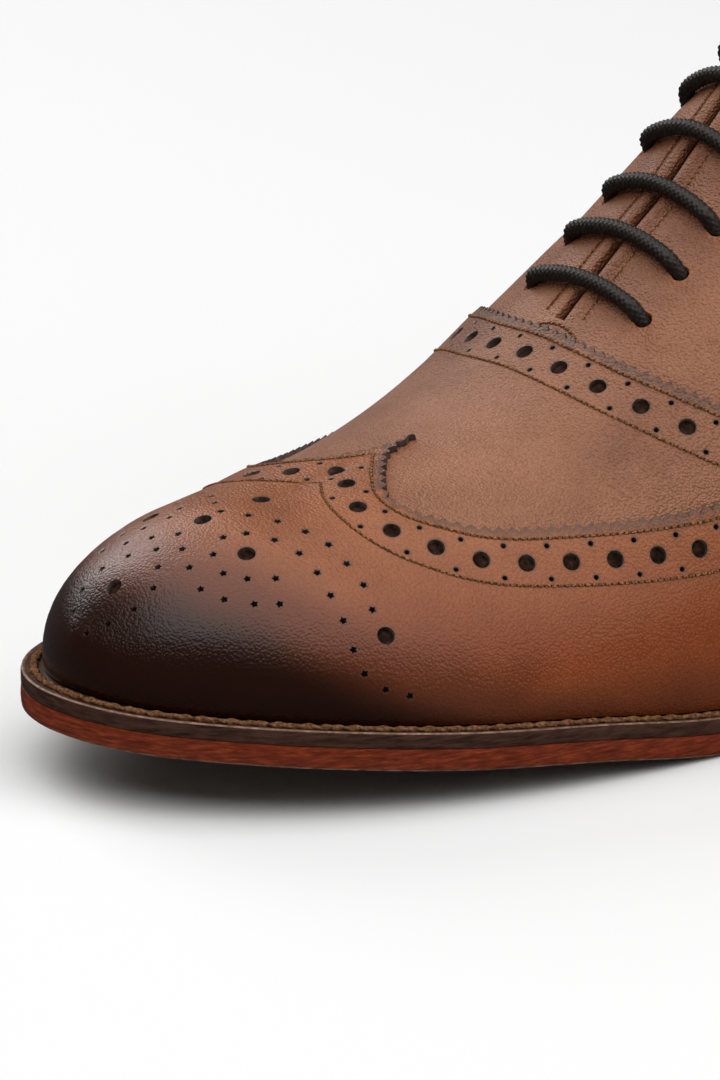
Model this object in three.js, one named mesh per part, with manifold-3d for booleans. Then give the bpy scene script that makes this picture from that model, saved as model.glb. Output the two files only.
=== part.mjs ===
import * as THREE from 'three';
import Module from 'manifold-3d';

// A left brogue oxford, empty, on its sole. Millimetres, +Z up, toe toward -Y, outer side toward +X.

// Form of the last
const shoeLength = 302;
const ballWidth = 96;
const lastHeight = 112;
const toeSpring = 12;
const heelHeight = 26.5;

// Layers of the upper, from the outside in
const capThickness = 0.8;
const vampThickness = 0.75;
const counterThickness = 0.75;
const wallThickness = 1.8;
const tongueThickness = 2;
const layerGap = 0.55;
const tongueGap = 1.4;
const quarterDepth = 0.5;
const coverLength = 26;
const stepLength = 15;

// Bottom
const weltWidth = 3.9;
const weltThickness = 2.4;
const weltInset = 4.6;
const outsoleThickness = 4;
const insoleThickness = 3.4;
const seatGap = 0.35;

// Heel
const heelLength = 72;
const topPieceThickness = 5.5;
const liftThickness = 5.2;
const liftCount = 3;
const heelTaperWidth = 0.45;

// Collar, throat and tongue
const collarHeight = 93;
const throatPastVamp = 2;
const facingLength = 61;
const throatGap = 2.6;
const tongueWidth = 42;
const tongueLength = 79;
const tongueUnderVamp = 6;

// Lacing
const eyeletCount = 6;
const eyeletDiameter = 4;
const eyeletToEdge = 15.6;
const firstEyeletDistance = 6.5;
const eyeletPitch = 9.2;
const laceDiameter = 2.9;

// Heel counter
const counterLength = 80;
const counterHeight = 46;

// Fineness of the facets
const rowsOnVamp = 13;
const rowsOnQuarters = 19;
const rowsAtFacingTop = 4;
const facingTopSpacing = 5;
const toeCrowding = 1.3;
const columnsPerSide = 10;
const holeSides = 8;
const laceSides = 8;

// Sections of the last from toe to heel, at even steps of t. Along is a share of shoeLength, spring of
// toeSpring, seat of heelHeight, rise of lastHeight, edge of weltWidth, and lateral, medial, ridge and
// bulge of ballWidth. Side and the two tops are shares of a section's own size, and lean of shoeLength.
const sectionColumns = ['along', 'lateral', 'medial', 'spring', 'seat', 'rise', 'ridge', 'side',
  'topLateral', 'topMedial', 'bulge', 'lean', 'edge'];
const sectionRows = [
  [0.0129, -0.070, -0.070, 0.945, 0.000, 0.067, -0.070, 0.57, 0.50, 0.52, 0.007, 0.000, 1.00],
  [0.0229, 0.077, -0.193, 0.920, 0.000, 0.114, -0.066, 0.59, 0.51, 0.54, 0.009, 0.000, 1.00],
  [0.0527, 0.210, -0.295, 0.865, 0.000, 0.193, -0.039, 0.59, 0.51, 0.54, 0.015, 0.000, 1.00],
  [0.1024, 0.330, -0.380, 0.730, 0.000, 0.262, -0.020, 0.57, 0.49, 0.51, 0.020, 0.000, 1.00],
  [0.1686, 0.424, -0.442, 0.530, 0.000, 0.296, -0.003, 0.57, 0.46, 0.51, 0.028, 0.000, 1.00],
  [0.2481, 0.486, -0.472, 0.320, 0.000, 0.354, 0.004, 0.61, 0.42, 0.49, 0.035, 0.000, 1.00],
  [0.3342, 0.518, -0.481, 0.015, 0.000, 0.479, 0.000, 0.70, 0.38, 0.48, 0.048, 0.000, 1.00],
  [0.4203, 0.499, -0.440, -0.050, 0.000, 0.650, -0.012, 0.72, 0.36, 0.46, 0.050, 0.000, 0.95],
  [0.5064, 0.444, -0.368, 0.000, 0.200, 0.798, -0.024, 0.70, 0.35, 0.44, 0.049, 0.000, 0.75],
  [0.5925, 0.383, -0.307, 0.000, 0.450, 0.898, -0.027, 0.65, 0.35, 0.41, 0.047, 0.000, 0.60],
  [0.6785, 0.345, -0.295, 0.000, 0.680, 0.970, -0.015, 0.57, 0.34, 0.37, 0.043, 0.000, 0.55],
  [0.7580, 0.330, -0.305, 0.000, 0.855, 1.000, 0.000, 0.52, 0.32, 0.32, 0.042, 0.013, 0.50],
  [0.8330, 0.330, -0.318, 0.000, 0.945, 1.000, 0.000, 0.50, 0.32, 0.32, 0.042, 0.033, 0.50],
  [0.9007, 0.308, -0.300, 0.000, 0.990, 1.000, 0.000, 0.50, 0.30, 0.30, 0.047, 0.053, 0.50],
  [0.9523, 0.250, -0.250, 0.000, 1.000, 1.000, 0.000, 0.50, 0.28, 0.28, 0.052, 0.066, 0.50],
  [0.9834, 0.155, -0.155, 0.000, 1.000, 1.000, 0.000, 0.50, 0.26, 0.26, 0.057, 0.073, 0.50],
  [0.9935, 0.000, 0.000, 0.000, 1.000, 1.000, 0.000, 0.50, 0.25, 0.25, 0.060, 0.073, 0.50],
];

// Edges of the panels: how far back they reach at each height. Up is a share of the way from the sole to
// the ridge, and the other columns are shares of shoeLength.
const capEdge = [
  // up, lateral, medial
  [0.000, 0.655, 0.645], [0.060, 0.598, 0.588], [0.130, 0.532, 0.522], [0.200, 0.468, 0.456],
  [0.285, 0.400, 0.386], [0.385, 0.330, 0.315], [0.475, 0.275, 0.262], [0.570, 0.2265, 0.216],
  [0.655, 0.204, 0.197], [0.720, 0.194, 0.188], [0.790, 0.193, 0.189], [0.860, 0.202, 0.1955],
  [0.920, 0.2127, 0.206], [0.975, 0.226, 0.227], [1.000, 0.249, 0.249],
];
const vampEdge = [
  // up, lateral, medial
  [0.000, 0.497, 0.500], [0.100, 0.485, 0.490], [0.200, 0.463, 0.470], [0.300, 0.435, 0.445],
  [0.380, 0.410, 0.422], [0.450, 0.390, 0.403], [0.530, 0.376, 0.386], [0.610, 0.366, 0.373],
  [0.700, 0.358, 0.364], [0.800, 0.353, 0.356], [0.900, 0.351, 0.352], [1.000, 0.351, 0.351],
];

// Top line of the quarters: shares of shoeLength, of the height at the top of the facings and of
// collarHeight
const topLine = [
  // along, front, back
  [0.550, 1.05, 0.000], [0.590, 0.70, 0.290], [0.640, 0.38, 0.560], [0.690, 0.17, 0.730],
  [0.740, 0.05, 0.825], [0.790, 0.00, 0.865], [0.840, 0.00, 0.870], [0.890, 0.00, 0.910],
  [0.940, 0.00, 0.965], [0.985, 0.00, 1.000], [1.010, 0.00, 1.005],
];

// Half width of the tongue: shares of its length and of tongueWidth
const tongueEdge = [
  // along, width
  [0.00, 0.34], [0.06, 0.36], [0.30, 0.40], [0.60, 0.47],
  [0.84, 0.52], [0.93, 0.49], [0.975, 0.42], [1.00, 0.30],
];

// Top edge of the heel counter: shares of counterLength and of counterHeight
const counterEdge = [
  // along, height
  [0.00, 0.04], [0.10, 0.24], [0.25, 0.48], [0.45, 0.72], [0.65, 0.88], [0.82, 0.97], [1.00, 1.00],
];

const soleStack = outsoleThickness + weltThickness + 2 * seatGap;
const mix = THREE.MathUtils.lerp;

function catmullRom(a, b, c, d, f) {
  const cubic = 3 * (b - c) + d - a;
  return b + 0.5 * f * (c - a + f * (2 * a - 5 * b + 4 * c - d + f * cubic));
}

// The ghost sections before the toe and after the heel mirror their neighbours, which rounds both ends
function ghost(end, next) {
  return end.map((value, column) => (column === 0 ? next[0] : 2 * value - next[column]));
}

const lastRow = sectionRows.length - 1;
const paddedRows = [
  ghost(sectionRows[0], sectionRows[1]),
  ...sectionRows,
  ghost(sectionRows[lastRow], sectionRows[lastRow - 1]),
];

function sectionAt(t) {
  const place = THREE.MathUtils.clamp(t, 0, 1) * lastRow;
  const row = Math.min(Math.floor(place), lastRow - 1);
  const values = sectionColumns.map((name, column) => catmullRom(
    paddedRows[row][column],
    paddedRows[row + 1][column],
    paddedRows[row + 2][column],
    paddedRows[row + 3][column],
    place - row,
  ));
  return Object.fromEntries(sectionColumns.map((name, column) => [name, values[column]]));
}

// A table read as a smooth curve of its first column
function readTable(rows, at, column) {
  const last = rows.length - 1;
  const place = THREE.MathUtils.clamp(at, rows[0][0], rows[last][0]);
  let row = 0;
  while (row < last - 1 && rows[row + 1][0] < place) row += 1;
  const before = rows[Math.max(row - 1, 0)];
  const after = rows[Math.min(row + 2, last)];
  const [from, to] = [rows[row], rows[row + 1]];
  const width = to[0] - from[0];
  const f = (place - from[0]) / width;
  const slopeFrom = (to[column] - before[column]) / (to[0] - before[0] || width);
  const slopeTo = (after[column] - from[column]) / (after[0] - from[0]);
  const ease = f * f * (3 - 2 * f);
  const tangents = slopeFrom * f * (1 - f) ** 2 - slopeTo * f * f * (1 - f);
  return mix(from[column], to[column], ease) + tangents * width;
}

// The first value between low and high at which the test turns true
function bisect(low, high, test) {
  let [from, to] = [low, high];
  for (let step = 0; step < 40; step += 1) {
    const middle = (from + to) / 2;
    if (test(middle)) to = middle;
    else from = middle;
  }
  return (from + to) / 2;
}

const tAt = (y) => bisect(0, 1, (t) => sectionAt(t).along * shoeLength > y);

// Height of the underside of the outsole, with a flat tread, and of the line where upper and welt meet
function soleBottom(t) {
  const { spring, seat } = sectionAt(t);
  return Math.max(0, spring * toeSpring + seat * heelHeight);
}

const footHeight = (t) => soleBottom(t) + soleStack;

// The foot line in plan, moved outward by a distance. Side is 1 for the lateral side, -1 for the medial.
function planNormal(t, side) {
  if (t < 1e-6) return new THREE.Vector2(0, -1);
  if (t > 1 - 1e-6) return new THREE.Vector2(0, 1);
  const name = side > 0 ? 'lateral' : 'medial';
  const [before, after] = [sectionAt(t - 1e-3), sectionAt(t + 1e-3)];
  return new THREE.Vector2(
    (after.along - before.along) * shoeLength * side,
    (before[name] - after[name]) * ballWidth * side,
  ).normalize();
}

function footLine(t, side, outward) {
  const section = sectionAt(t);
  const normal = planNormal(t, side);
  return new THREE.Vector3(
    (side > 0 ? section.lateral : section.medial) * ballWidth + normal.x * outward,
    section.along * shoeLength + normal.y * outward,
    footHeight(t),
  );
}

// The outside of the shoe. V runs over one section: 0 at the lateral foot line, 1 at the ridge, 2 at the
// medial foot line.
function skin(t, v) {
  const section = sectionAt(t);
  const side = v <= 1 ? 1 : -1;
  const up = v <= 1 ? v : 2 - v;
  const normal = planNormal(t, side);
  const rise = section.rise * lastHeight;
  const foot = footLine(t, side, 0);
  const ridge = new THREE.Vector3(
    section.ridge * ballWidth,
    (section.along - section.lean) * shoeLength,
    foot.z + rise,
  );
  const bulge = section.bulge * ballWidth;
  const low = foot.clone().add(new THREE.Vector3(normal.x * bulge, normal.y * bulge, section.side * rise));
  const top = side > 0 ? section.topLateral : section.topMedial;
  const high = new THREE.Vector3(
    ridge.x + (foot.x - ridge.x) * top,
    ridge.y + (foot.y - ridge.y) * top,
    ridge.z,
  );
  return new THREE.CubicBezierCurve3(foot, low, high, ridge).getPoint(up);
}

function outwardNormal(t, v) {
  const pole = 0.004;
  if (t < pole || t > 1 - pole) {
    const near = THREE.MathUtils.clamp(t, pole, 1 - pole);
    return outwardNormal(near, v).add(outwardNormal(near, 2 - v)).normalize();
  }
  const e = 1e-3;
  const along = skin(t + e, v).sub(skin(t - e, v));
  const over = skin(t, Math.min(v + e, 2)).sub(skin(t, Math.max(v - e, 0)));
  const normal = along.cross(over).normalize();
  const up = v <= 1 ? v : 2 - v;
  normal.z *= THREE.MathUtils.smoothstep(up, 0, 0.12);
  return normal.normalize();
}

// Depths of the layers under the skin. A lower layer comes up to the skin where the one above it ends, and
// sinks under it further ahead; the upper one stands proud at its edge.
function aheadOf(edge, t, v) {
  const up = v <= 1 ? v : 2 - v;
  return (readTable(edge, up, v <= 1 ? 1 : 2) - sectionAt(t).along) * shoeLength;
}

const { smoothstep } = THREE.MathUtils;
const capSpace = capThickness + layerGap;
const vampSpace = vampThickness + layerGap;
const capDrop = (t, v) => capSpace * smoothstep(aheadOf(capEdge, t, v), 0, coverLength);
const underVamp = (t, v) => smoothstep(aheadOf(vampEdge, t, v), 0, coverLength);

function overVampEdge(t, v) {
  const ahead = aheadOf(vampEdge, t, v);
  return ahead > 0 ? 1 - smoothstep(ahead, 0, coverLength) : 1 - smoothstep(-ahead, 0, stepLength);
}

const wallOuter = (t, v) => capDrop(t, v) + quarterDepth + (vampSpace - quarterDepth) * underVamp(t, v);
const wallInner = (t, v) => wallOuter(t, v) + wallThickness;
const vampInner = (t, v) => wallOuter(t, v) - layerGap;
const vampOuter = (t, v) => vampInner(t, v) - vampThickness;
const capInner = (t, v) => capDrop(t, v) + (quarterDepth - vampSpace) * overVampEdge(t, v) - layerGap;
const capOuter = (t, v) => capInner(t, v) - capThickness;
const counterInner = () => quarterDepth - layerGap;
const counterOuter = () => counterInner() - counterThickness;
const tongueOuter = (t, v) => wallInner(t, v) + tongueGap;
const tongueInner = (t, v) => tongueOuter(t, v) + tongueThickness;

function skinAt(t, v, depth) {
  return skin(t, v).addScaledVector(outwardNormal(t, v), -depth);
}

// The v that lies a distance from the ridge or the foot line, measured over the skin
function walk(t, start, end, distance) {
  const steps = 60;
  let travelled = 0;
  let previous = skin(t, start);
  for (let step = 1; step <= steps; step += 1) {
    const v = start + (end - start) * step / steps;
    const point = skin(t, v);
    const length = point.distanceTo(previous);
    if (travelled + length >= distance) {
      return v - (end - start) / steps * (1 - (distance - travelled) / length);
    }
    travelled += length;
    previous = point;
  }
  return end;
}

const fromRidge = (t, side, distance) => walk(t, 1, side > 0 ? 0 : 2, distance);
const fromFoot = (t, side, distance) => walk(t, side > 0 ? 0 : 2, 1, distance);

// Collects the faces of one solid and welds their corners
class Solid {
  corners = [];

  keys = new Map();

  faces = [];

  corner(point) {
    const key = point.toArray().map((value) => Math.round(value * 1e4)).join(',');
    if (!this.keys.has(key)) {
      this.keys.set(key, this.corners.length);
      this.corners.push(point);
    }
    return this.keys.get(key);
  }

  triangle(a, b, c) {
    const face = [a, b, c].map((point) => this.corner(point));
    if (new Set(face).size === 3) this.faces.push(face);
  }

  quad(a, b, c, d) {
    this.triangle(a, b, c);
    this.triangle(a, c, d);
  }

  // A sheet between an outer and an inner grid, with walls on the edges that are named
  sheet(outer, inner, walls) {
    const lastI = outer.length - 1;
    const lastJ = outer[0].length - 1;
    for (let i = 0; i < lastI; i += 1) {
      for (let j = 0; j < lastJ; j += 1) {
        this.quad(outer[i][j], outer[i + 1][j], outer[i + 1][j + 1], outer[i][j + 1]);
        this.quad(inner[i][j], inner[i][j + 1], inner[i + 1][j + 1], inner[i + 1][j]);
      }
      if (walls.includes('first side')) this.quad(outer[i][0], inner[i][0], inner[i + 1][0], outer[i + 1][0]);
      if (walls.includes('last side')) {
        this.quad(outer[i + 1][lastJ], inner[i + 1][lastJ], inner[i][lastJ], outer[i][lastJ]);
      }
    }
    for (let j = 0; j < lastJ; j += 1) {
      if (walls.includes('start')) this.quad(outer[0][j], outer[0][j + 1], inner[0][j + 1], inner[0][j]);
      if (walls.includes('end')) {
        this.quad(outer[lastI][j + 1], outer[lastI][j], inner[lastI][j], inner[lastI][j + 1]);
      }
    }
    return this;
  }

  // A sheet of the skin between two depths, over a grid of places given as t and v
  skinSheet(places, outerDepth, innerDepth, walls) {
    const at = (depth) => places.map((row) => row.map(([t, v]) => skinAt(t, v, depth(t, v))));
    return this.sheet(at(outerDepth), at(innerDepth), walls);
  }

  geometry() {
    const geometry = new THREE.BufferGeometry();
    const positions = this.corners.flatMap((point) => point.toArray());
    geometry.setAttribute('position', new THREE.Float32BufferAttribute(positions, 3));
    geometry.setIndex(this.faces.flat());
    return geometry;
  }
}

const steps = (count) => Array.from({ length: count + 1 }, (value, index) => index / count);
const bothSides = ['first side', 'last side'];
const allEdges = ['first side', 'last side', 'start', 'end'];

// Throat and collar
const throatFoot = readTable(vampEdge, 1, 1) * shoeLength + throatPastVamp;
const topRidge = throatFoot + facingLength;
const facingTop = skin(tAt(topRidge), 1).z;

function collarZ(y) {
  const along = y / shoeLength;
  return readTable(topLine, along, 1) * facingTop + readTable(topLine, along, 2) * collarHeight;
}

// The v of the wall's top edge on one side, at the facing or at the collar
function wallTop(t, side) {
  const throat = fromRidge(t, side, throatGap / 2);
  const reach = side > 0 ? 1 : -1;
  const up = bisect(0, 1, (value) => {
    const point = skin(t, 1 - reach * (1 - value));
    return point.z > collarZ(point.y);
  });
  const collar = 1 - reach * (1 - up);
  return side > 0 ? Math.min(throat, collar) : Math.max(throat, collar);
}

// Rows and columns that all layers share, so that their facets lie parallel
const tThroat = tAt(throatFoot);
const frontRows = steps(rowsOnVamp).map((f) => tThroat * f ** toeCrowding);
const evenRows = [0, 0.02, ...steps(rowsOnQuarters).slice(1)].map((f) => mix(tThroat, 1, f));
const topRows = steps(rowsAtFacingTop).map((f) => tAt(topRidge + f * rowsAtFacingTop * facingTopSpacing));
const clearOfTop = evenRows.filter((t) => topRows.every((row) => Math.abs(t - row) > 0.008));
const rearRows = [...clearOfTop, ...topRows].sort((a, b) => a - b);
const allRows = [...frontRows, ...rearRows.slice(1)];
const rowsBetween = (from, to) => [from, ...allRows.filter((t) => t > from + 1e-3 && t < to - 1e-3), to];
const across = steps(2 * columnsPerSide).map((f) => 2 * f);

function upper() {
  const solid = new Solid();
  const columns = steps(columnsPerSide);
  solid.skinSheet(frontRows.map((t) => across.map((v) => [t, v])), wallOuter, wallInner, bothSides);
  const top = (t, side) => (t === tThroat ? 1 : wallTop(t, side));
  const lateral = rearRows.map((t) => columns.map((f) => [t, mix(0, top(t, 1), f)]));
  const medial = rearRows.map((t) => columns.map((f) => [t, mix(top(t, -1), 2, f)]));
  for (const places of [lateral, medial]) solid.skinSheet(places, wallOuter, wallInner, bothSides);
  return solid.geometry();
}

// A panel that covers the toe back to an edge table
function toePanel(edge, outerDepth, innerDepth) {
  const reach = across.map((v) => {
    const up = v <= 1 ? v : 2 - v;
    return tAt(readTable(edge, up, v <= 1 ? 1 : 2) * shoeLength);
  });
  const rows = rowsBetween(0, Math.max(...reach));
  const places = rows.map((t) => across.map((v, j) => [Math.min(t, reach[j]), v]));
  return new Solid().skinSheet(places, outerDepth, innerDepth, [...bothSides, 'end']).geometry();
}

const wingCap = () => toePanel(capEdge, capOuter, capInner);
const vamp = () => toePanel(vampEdge, vampOuter, vampInner);

function heelCounter() {
  const solid = new Solid();
  const columns = steps(5);
  const front = sectionAt(1).along * shoeLength - counterLength;
  const heightAt = (t) => {
    const share = (sectionAt(t).along * shoeLength - front) / counterLength;
    return readTable(counterEdge, share, 1) * counterHeight;
  };
  const rows = rowsBetween(tAt(front), 1);
  const top = (t, side) => fromFoot(t, side, heightAt(t));
  const walls = [...bothSides, 'start'];
  const lateral = rows.map((t) => columns.map((c) => [t, mix(0, top(t, 1), c)]));
  const medial = rows.map((t) => columns.map((c) => [t, mix(top(t, -1), 2, c)]));
  for (const places of [lateral, medial]) solid.skinSheet(places, counterOuter, counterInner, walls);
  return solid.geometry();
}

function tongue() {
  const start = throatFoot - tongueUnderVamp;
  const places = steps(16).map((f) => {
    const t = tAt(start + tongueLength * f);
    const half = readTable(tongueEdge, f, 1) * tongueWidth;
    return steps(8).map((c) => {
      const side = c < 0.5 ? 1 : -1;
      return [t, fromRidge(t, side, Math.abs(1 - 2 * c) * half)];
    });
  });
  return new Solid().skinSheet(places, tongueOuter, tongueInner, allEdges).geometry();
}

// A plate under the foot from one place to the heel, between two heights given as functions of t
function plate(from, outward, top, bottom, walls) {
  const at = (height) => rowsBetween(from, 1).map((t) => {
    const [lateral, medial] = [footLine(t, 1, outward(t)), footLine(t, -1, outward(t))];
    return [0, 0.5, 1].map((c) => lateral.clone().lerp(medial, c).setZ(height(t)));
  });
  return new Solid().sheet(at(top), at(bottom), walls).geometry();
}

const edgeWidth = (t) => sectionAt(t).edge * weltWidth;
const outsoleTop = (t) => soleBottom(t) + outsoleThickness;
const insoleBottom = (t) => outsoleTop(t) + seatGap;

const outsole = () => plate(0, edgeWidth, outsoleTop, soleBottom, bothSides);

const insole = () => plate(
  0,
  () => -weltInset - seatGap,
  (t) => insoleBottom(t) + insoleThickness,
  insoleBottom,
  bothSides,
);

function welt() {
  const solid = new Solid();
  const at = (side, height) => rowsBetween(0, 1).map((t) => {
    const row = [footLine(t, side, edgeWidth(t)), footLine(t, side, -weltInset)];
    row.forEach((point) => point.setZ(height(t)));
    return side > 0 ? row : row.reverse();
  });
  const top = (t) => footHeight(t) - seatGap;
  const bottom = (t) => outsoleTop(t) + seatGap;
  for (const side of [1, -1]) solid.sheet(at(side, top), at(side, bottom), bothSides);
  return solid.geometry();
}

// Heel, from the floor up: the top piece, then the lifts, the highest one cut to the slope of the seat
const heelFront = tAt(shoeLength - heelLength);

function heelLayer(level, top, bottom) {
  const outward = (t) => edgeWidth(t) - heelTaperWidth * (liftCount - level);
  return plate(heelFront, outward, top, bottom, [...bothSides, 'start']);
}

const liftBottom = (level) => topPieceThickness + seatGap + (level - 1) * (liftThickness + seatGap);

function heelLift(level) {
  const bottom = liftBottom(level);
  if (level < liftCount) return heelLayer(level, () => bottom + liftThickness, () => bottom);
  return heelLayer(level, (t) => soleBottom(t) - seatGap, () => bottom);
}

// Eyelets and lacing
const eyeletY = (index) => throatFoot + firstEyeletDistance + index * eyeletPitch;

function laceBar(index) {
  const t = tAt(eyeletY(index));
  const height = seatGap + laceDiameter / 2 - quarterDepth;
  const ends = [fromRidge(t, 1, eyeletToEdge), fromRidge(t, -1, eyeletToEdge)];
  const points = steps(6).map((f) => skinAt(t, mix(ends[0], ends[1], f), -height));
  const section = new THREE.Shape(steps(laceSides).slice(1).map((f) => {
    const angle = 2 * Math.PI * f;
    return new THREE.Vector2(Math.cos(angle), Math.sin(angle)).multiplyScalar(laceDiameter / 2);
  }));
  const extrusion = new THREE.ExtrudeGeometry(section, {
    steps: 8,
    extrudePath: new THREE.CatmullRomCurve3(points),
    bevelEnabled: false,
  });
  const solid = new Solid();
  const position = extrusion.getAttribute('position');
  const point = (index3) => new THREE.Vector3().fromBufferAttribute(position, index3);
  for (let first = 0; first < position.count; first += 3) {
    solid.triangle(point(first), point(first + 1), point(first + 2));
  }
  return solid.geometry();
}

const wasm = await Module();
wasm.setup();

function toManifold(geometry) {
  return new wasm.Manifold(new wasm.Mesh({
    numProp: 3,
    vertProperties: new Float32Array(geometry.getAttribute('position').array),
    triVerts: new Uint32Array(geometry.getIndex().array),
  }));
}

function fromManifold(manifold) {
  const mesh = manifold.getMesh();
  const geometry = new THREE.BufferGeometry();
  geometry.setAttribute('position', new THREE.Float32BufferAttribute(mesh.vertProperties, 3));
  geometry.setIndex(Array.from(mesh.triVerts));
  return geometry;
}

// A round punch through the layers at an eyelet
function punch(index, side) {
  const t = tAt(eyeletY(index));
  const v = fromRidge(t, side, eyeletToEdge);
  const normal = outwardNormal(t, v);
  const length = 6 * wallThickness;
  const solid = new Solid();
  const across = new THREE.Vector3(0, 0, 1).cross(normal).normalize();
  const over = normal.clone().cross(across);
  const ring = (height) => steps(holeSides).slice(1).map((f) => skin(t, v)
    .addScaledVector(normal, height)
    .addScaledVector(across, Math.cos(2 * Math.PI * f) * eyeletDiameter / 2)
    .addScaledVector(over, Math.sin(2 * Math.PI * f) * eyeletDiameter / 2));
  const [low, high] = [ring(-length / 2), ring(length / 2)];
  for (let k = 0; k < holeSides; k += 1) {
    const next = (k + 1) % holeSides;
    solid.quad(low[k], low[next], high[next], high[k]);
    if (k > 1) {
      solid.triangle(high[0], high[k - 1], high[k]);
      solid.triangle(low[0], low[k], low[k - 1]);
    }
  }
  return toManifold(solid.geometry());
}

function withEyelets(geometry) {
  let solid = toManifold(geometry);
  for (let index = 0; index < eyeletCount; index += 1) {
    for (const side of [1, -1]) solid = solid.subtract(punch(index, side));
  }
  return fromManifold(solid);
}

// Materials
const material = (color, roughness) => new THREE.MeshStandardMaterial({ color, roughness, metalness: 0 });
const leather = material('#8a4d28', 0.45);
const capLeather = material('#7a3f1f', 0.35);
const lining = material('#b98a5c', 0.7);
const tongueLeather = material('#6e3c20', 0.5);
const weltLeather = material('#4a2c1c', 0.6);
const soleLeather = material('#8a3c22', 0.5);
const stackLeather = material('#4a2a1a', 0.5);
const rubber = material('#1d1a18', 0.8);
const waxedCotton = material('#2f241c', 0.75);

const shoe = new THREE.Group();

function addPiece(name, geometry, finish) {
  const flat = geometry.index ? geometry.toNonIndexed() : geometry;
  flat.computeVertexNormals();
  const mesh = new THREE.Mesh(flat, finish);
  mesh.name = name;
  shoe.add(mesh);
}

addPiece('outsole', outsole(), soleLeather);
addPiece('welt', welt(), weltLeather);
addPiece('top_piece', heelLayer(0, () => topPieceThickness, () => 0), rubber);
for (let level = 1; level <= liftCount; level += 1) {
  addPiece(`heel_lift_${level}`, heelLift(level), stackLeather);
}
addPiece('insole', insole(), lining);
addPiece('upper', withEyelets(upper()), leather);
addPiece('vamp', vamp(), leather);
addPiece('wing_cap', wingCap(), capLeather);
addPiece('heel_counter', heelCounter(), leather);
addPiece('tongue', tongue(), tongueLeather);
for (let index = 0; index < eyeletCount; index += 1) {
  addPiece(`lace_bar_${index + 1}`, laceBar(index), waxedCotton);
}

// The origin lies on the floor under the middle of the shoe's box
const box = new THREE.Box3().setFromObject(shoe);
const middle = box.getCenter(new THREE.Vector3());
shoe.position.set(-middle.x, -middle.y, -box.min.z);

export default shoe;
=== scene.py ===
import math

import bpy
import numpy as np
from mathutils import Matrix, Vector, kdtree
from mathutils.geometry import delaunay_2d_cdt


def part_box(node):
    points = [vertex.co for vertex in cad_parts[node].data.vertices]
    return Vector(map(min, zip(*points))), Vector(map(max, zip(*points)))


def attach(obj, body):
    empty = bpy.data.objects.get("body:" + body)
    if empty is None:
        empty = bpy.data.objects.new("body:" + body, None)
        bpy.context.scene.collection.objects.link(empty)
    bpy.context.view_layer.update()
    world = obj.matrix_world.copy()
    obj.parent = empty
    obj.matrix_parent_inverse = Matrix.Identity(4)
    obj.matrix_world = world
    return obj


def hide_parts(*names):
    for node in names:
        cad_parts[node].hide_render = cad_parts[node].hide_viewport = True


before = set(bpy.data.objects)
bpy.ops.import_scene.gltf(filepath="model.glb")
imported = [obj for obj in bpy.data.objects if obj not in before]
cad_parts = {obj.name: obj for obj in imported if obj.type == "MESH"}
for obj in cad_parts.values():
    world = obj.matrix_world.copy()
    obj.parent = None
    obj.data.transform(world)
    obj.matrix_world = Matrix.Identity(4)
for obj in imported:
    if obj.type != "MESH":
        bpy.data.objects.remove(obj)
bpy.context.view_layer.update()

bl_info = {
    "name": "Brogue oxford shoe",
    "version": (1, 0, 0),
    "blender": (4, 5, 0),
    "location": "3D View > Sidebar > Shoe",
    "description": "Builds the leather, stitching, laces, sole and studio of a brogue oxford",
    "category": "Add Mesh",
}

# Form of the last, millimetres: toe tip at y 0, heel toward +y, outer side toward +x
SHOE_LENGTH = 302.0
BALL_WIDTH = 96.0
LAST_HEIGHT = 112.0
TOE_SPRING = 12.0
HEEL_HEIGHT = 26.5
OUTSOLE_THICKNESS = 4.0
WELT_THICKNESS = 2.4
WELT_WIDTH = 3.9
WELT_INSET = 4.6
SEAT_GAP = 0.35
SOLE_STACK = OUTSOLE_THICKNESS + WELT_THICKNESS + 2 * SEAT_GAP
HEEL_LENGTH = 72.0
HEEL_LAYERS = (5.5, 5.2, 5.2)
HEEL_TAPER = 0.45
COLLAR_HEIGHT = 93.0
THROAT_PAST_VAMP = 2.0
FACING_LENGTH = 61.0
THROAT_GAP = 2.6
TONGUE_WIDTH = 42.0
TONGUE_LENGTH = 79.0
TONGUE_UNDER_VAMP = 6.0
EYELETS = 6
EYELET_DIAMETER = 4.0
EYELET_TO_EDGE = 15.6
FIRST_EYELET = 6.5
EYELET_PITCH = 9.2
LACE_DIAMETER = 2.9
COUNTER_LENGTH = 80.0
COUNTER_HEIGHT = 46.0
CAP_THICKNESS = 0.8
VAMP_THICKNESS = 0.75
COUNTER_THICKNESS = 0.75
WALL_THICKNESS = 1.8
TONGUE_THICKNESS = 2.0
LAYER_GAP = 0.55
TONGUE_GAP = 1.4
QUARTER_DEPTH = 0.5
COVER_LENGTH = 26.0
STEP_LENGTH = 15.0

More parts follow.
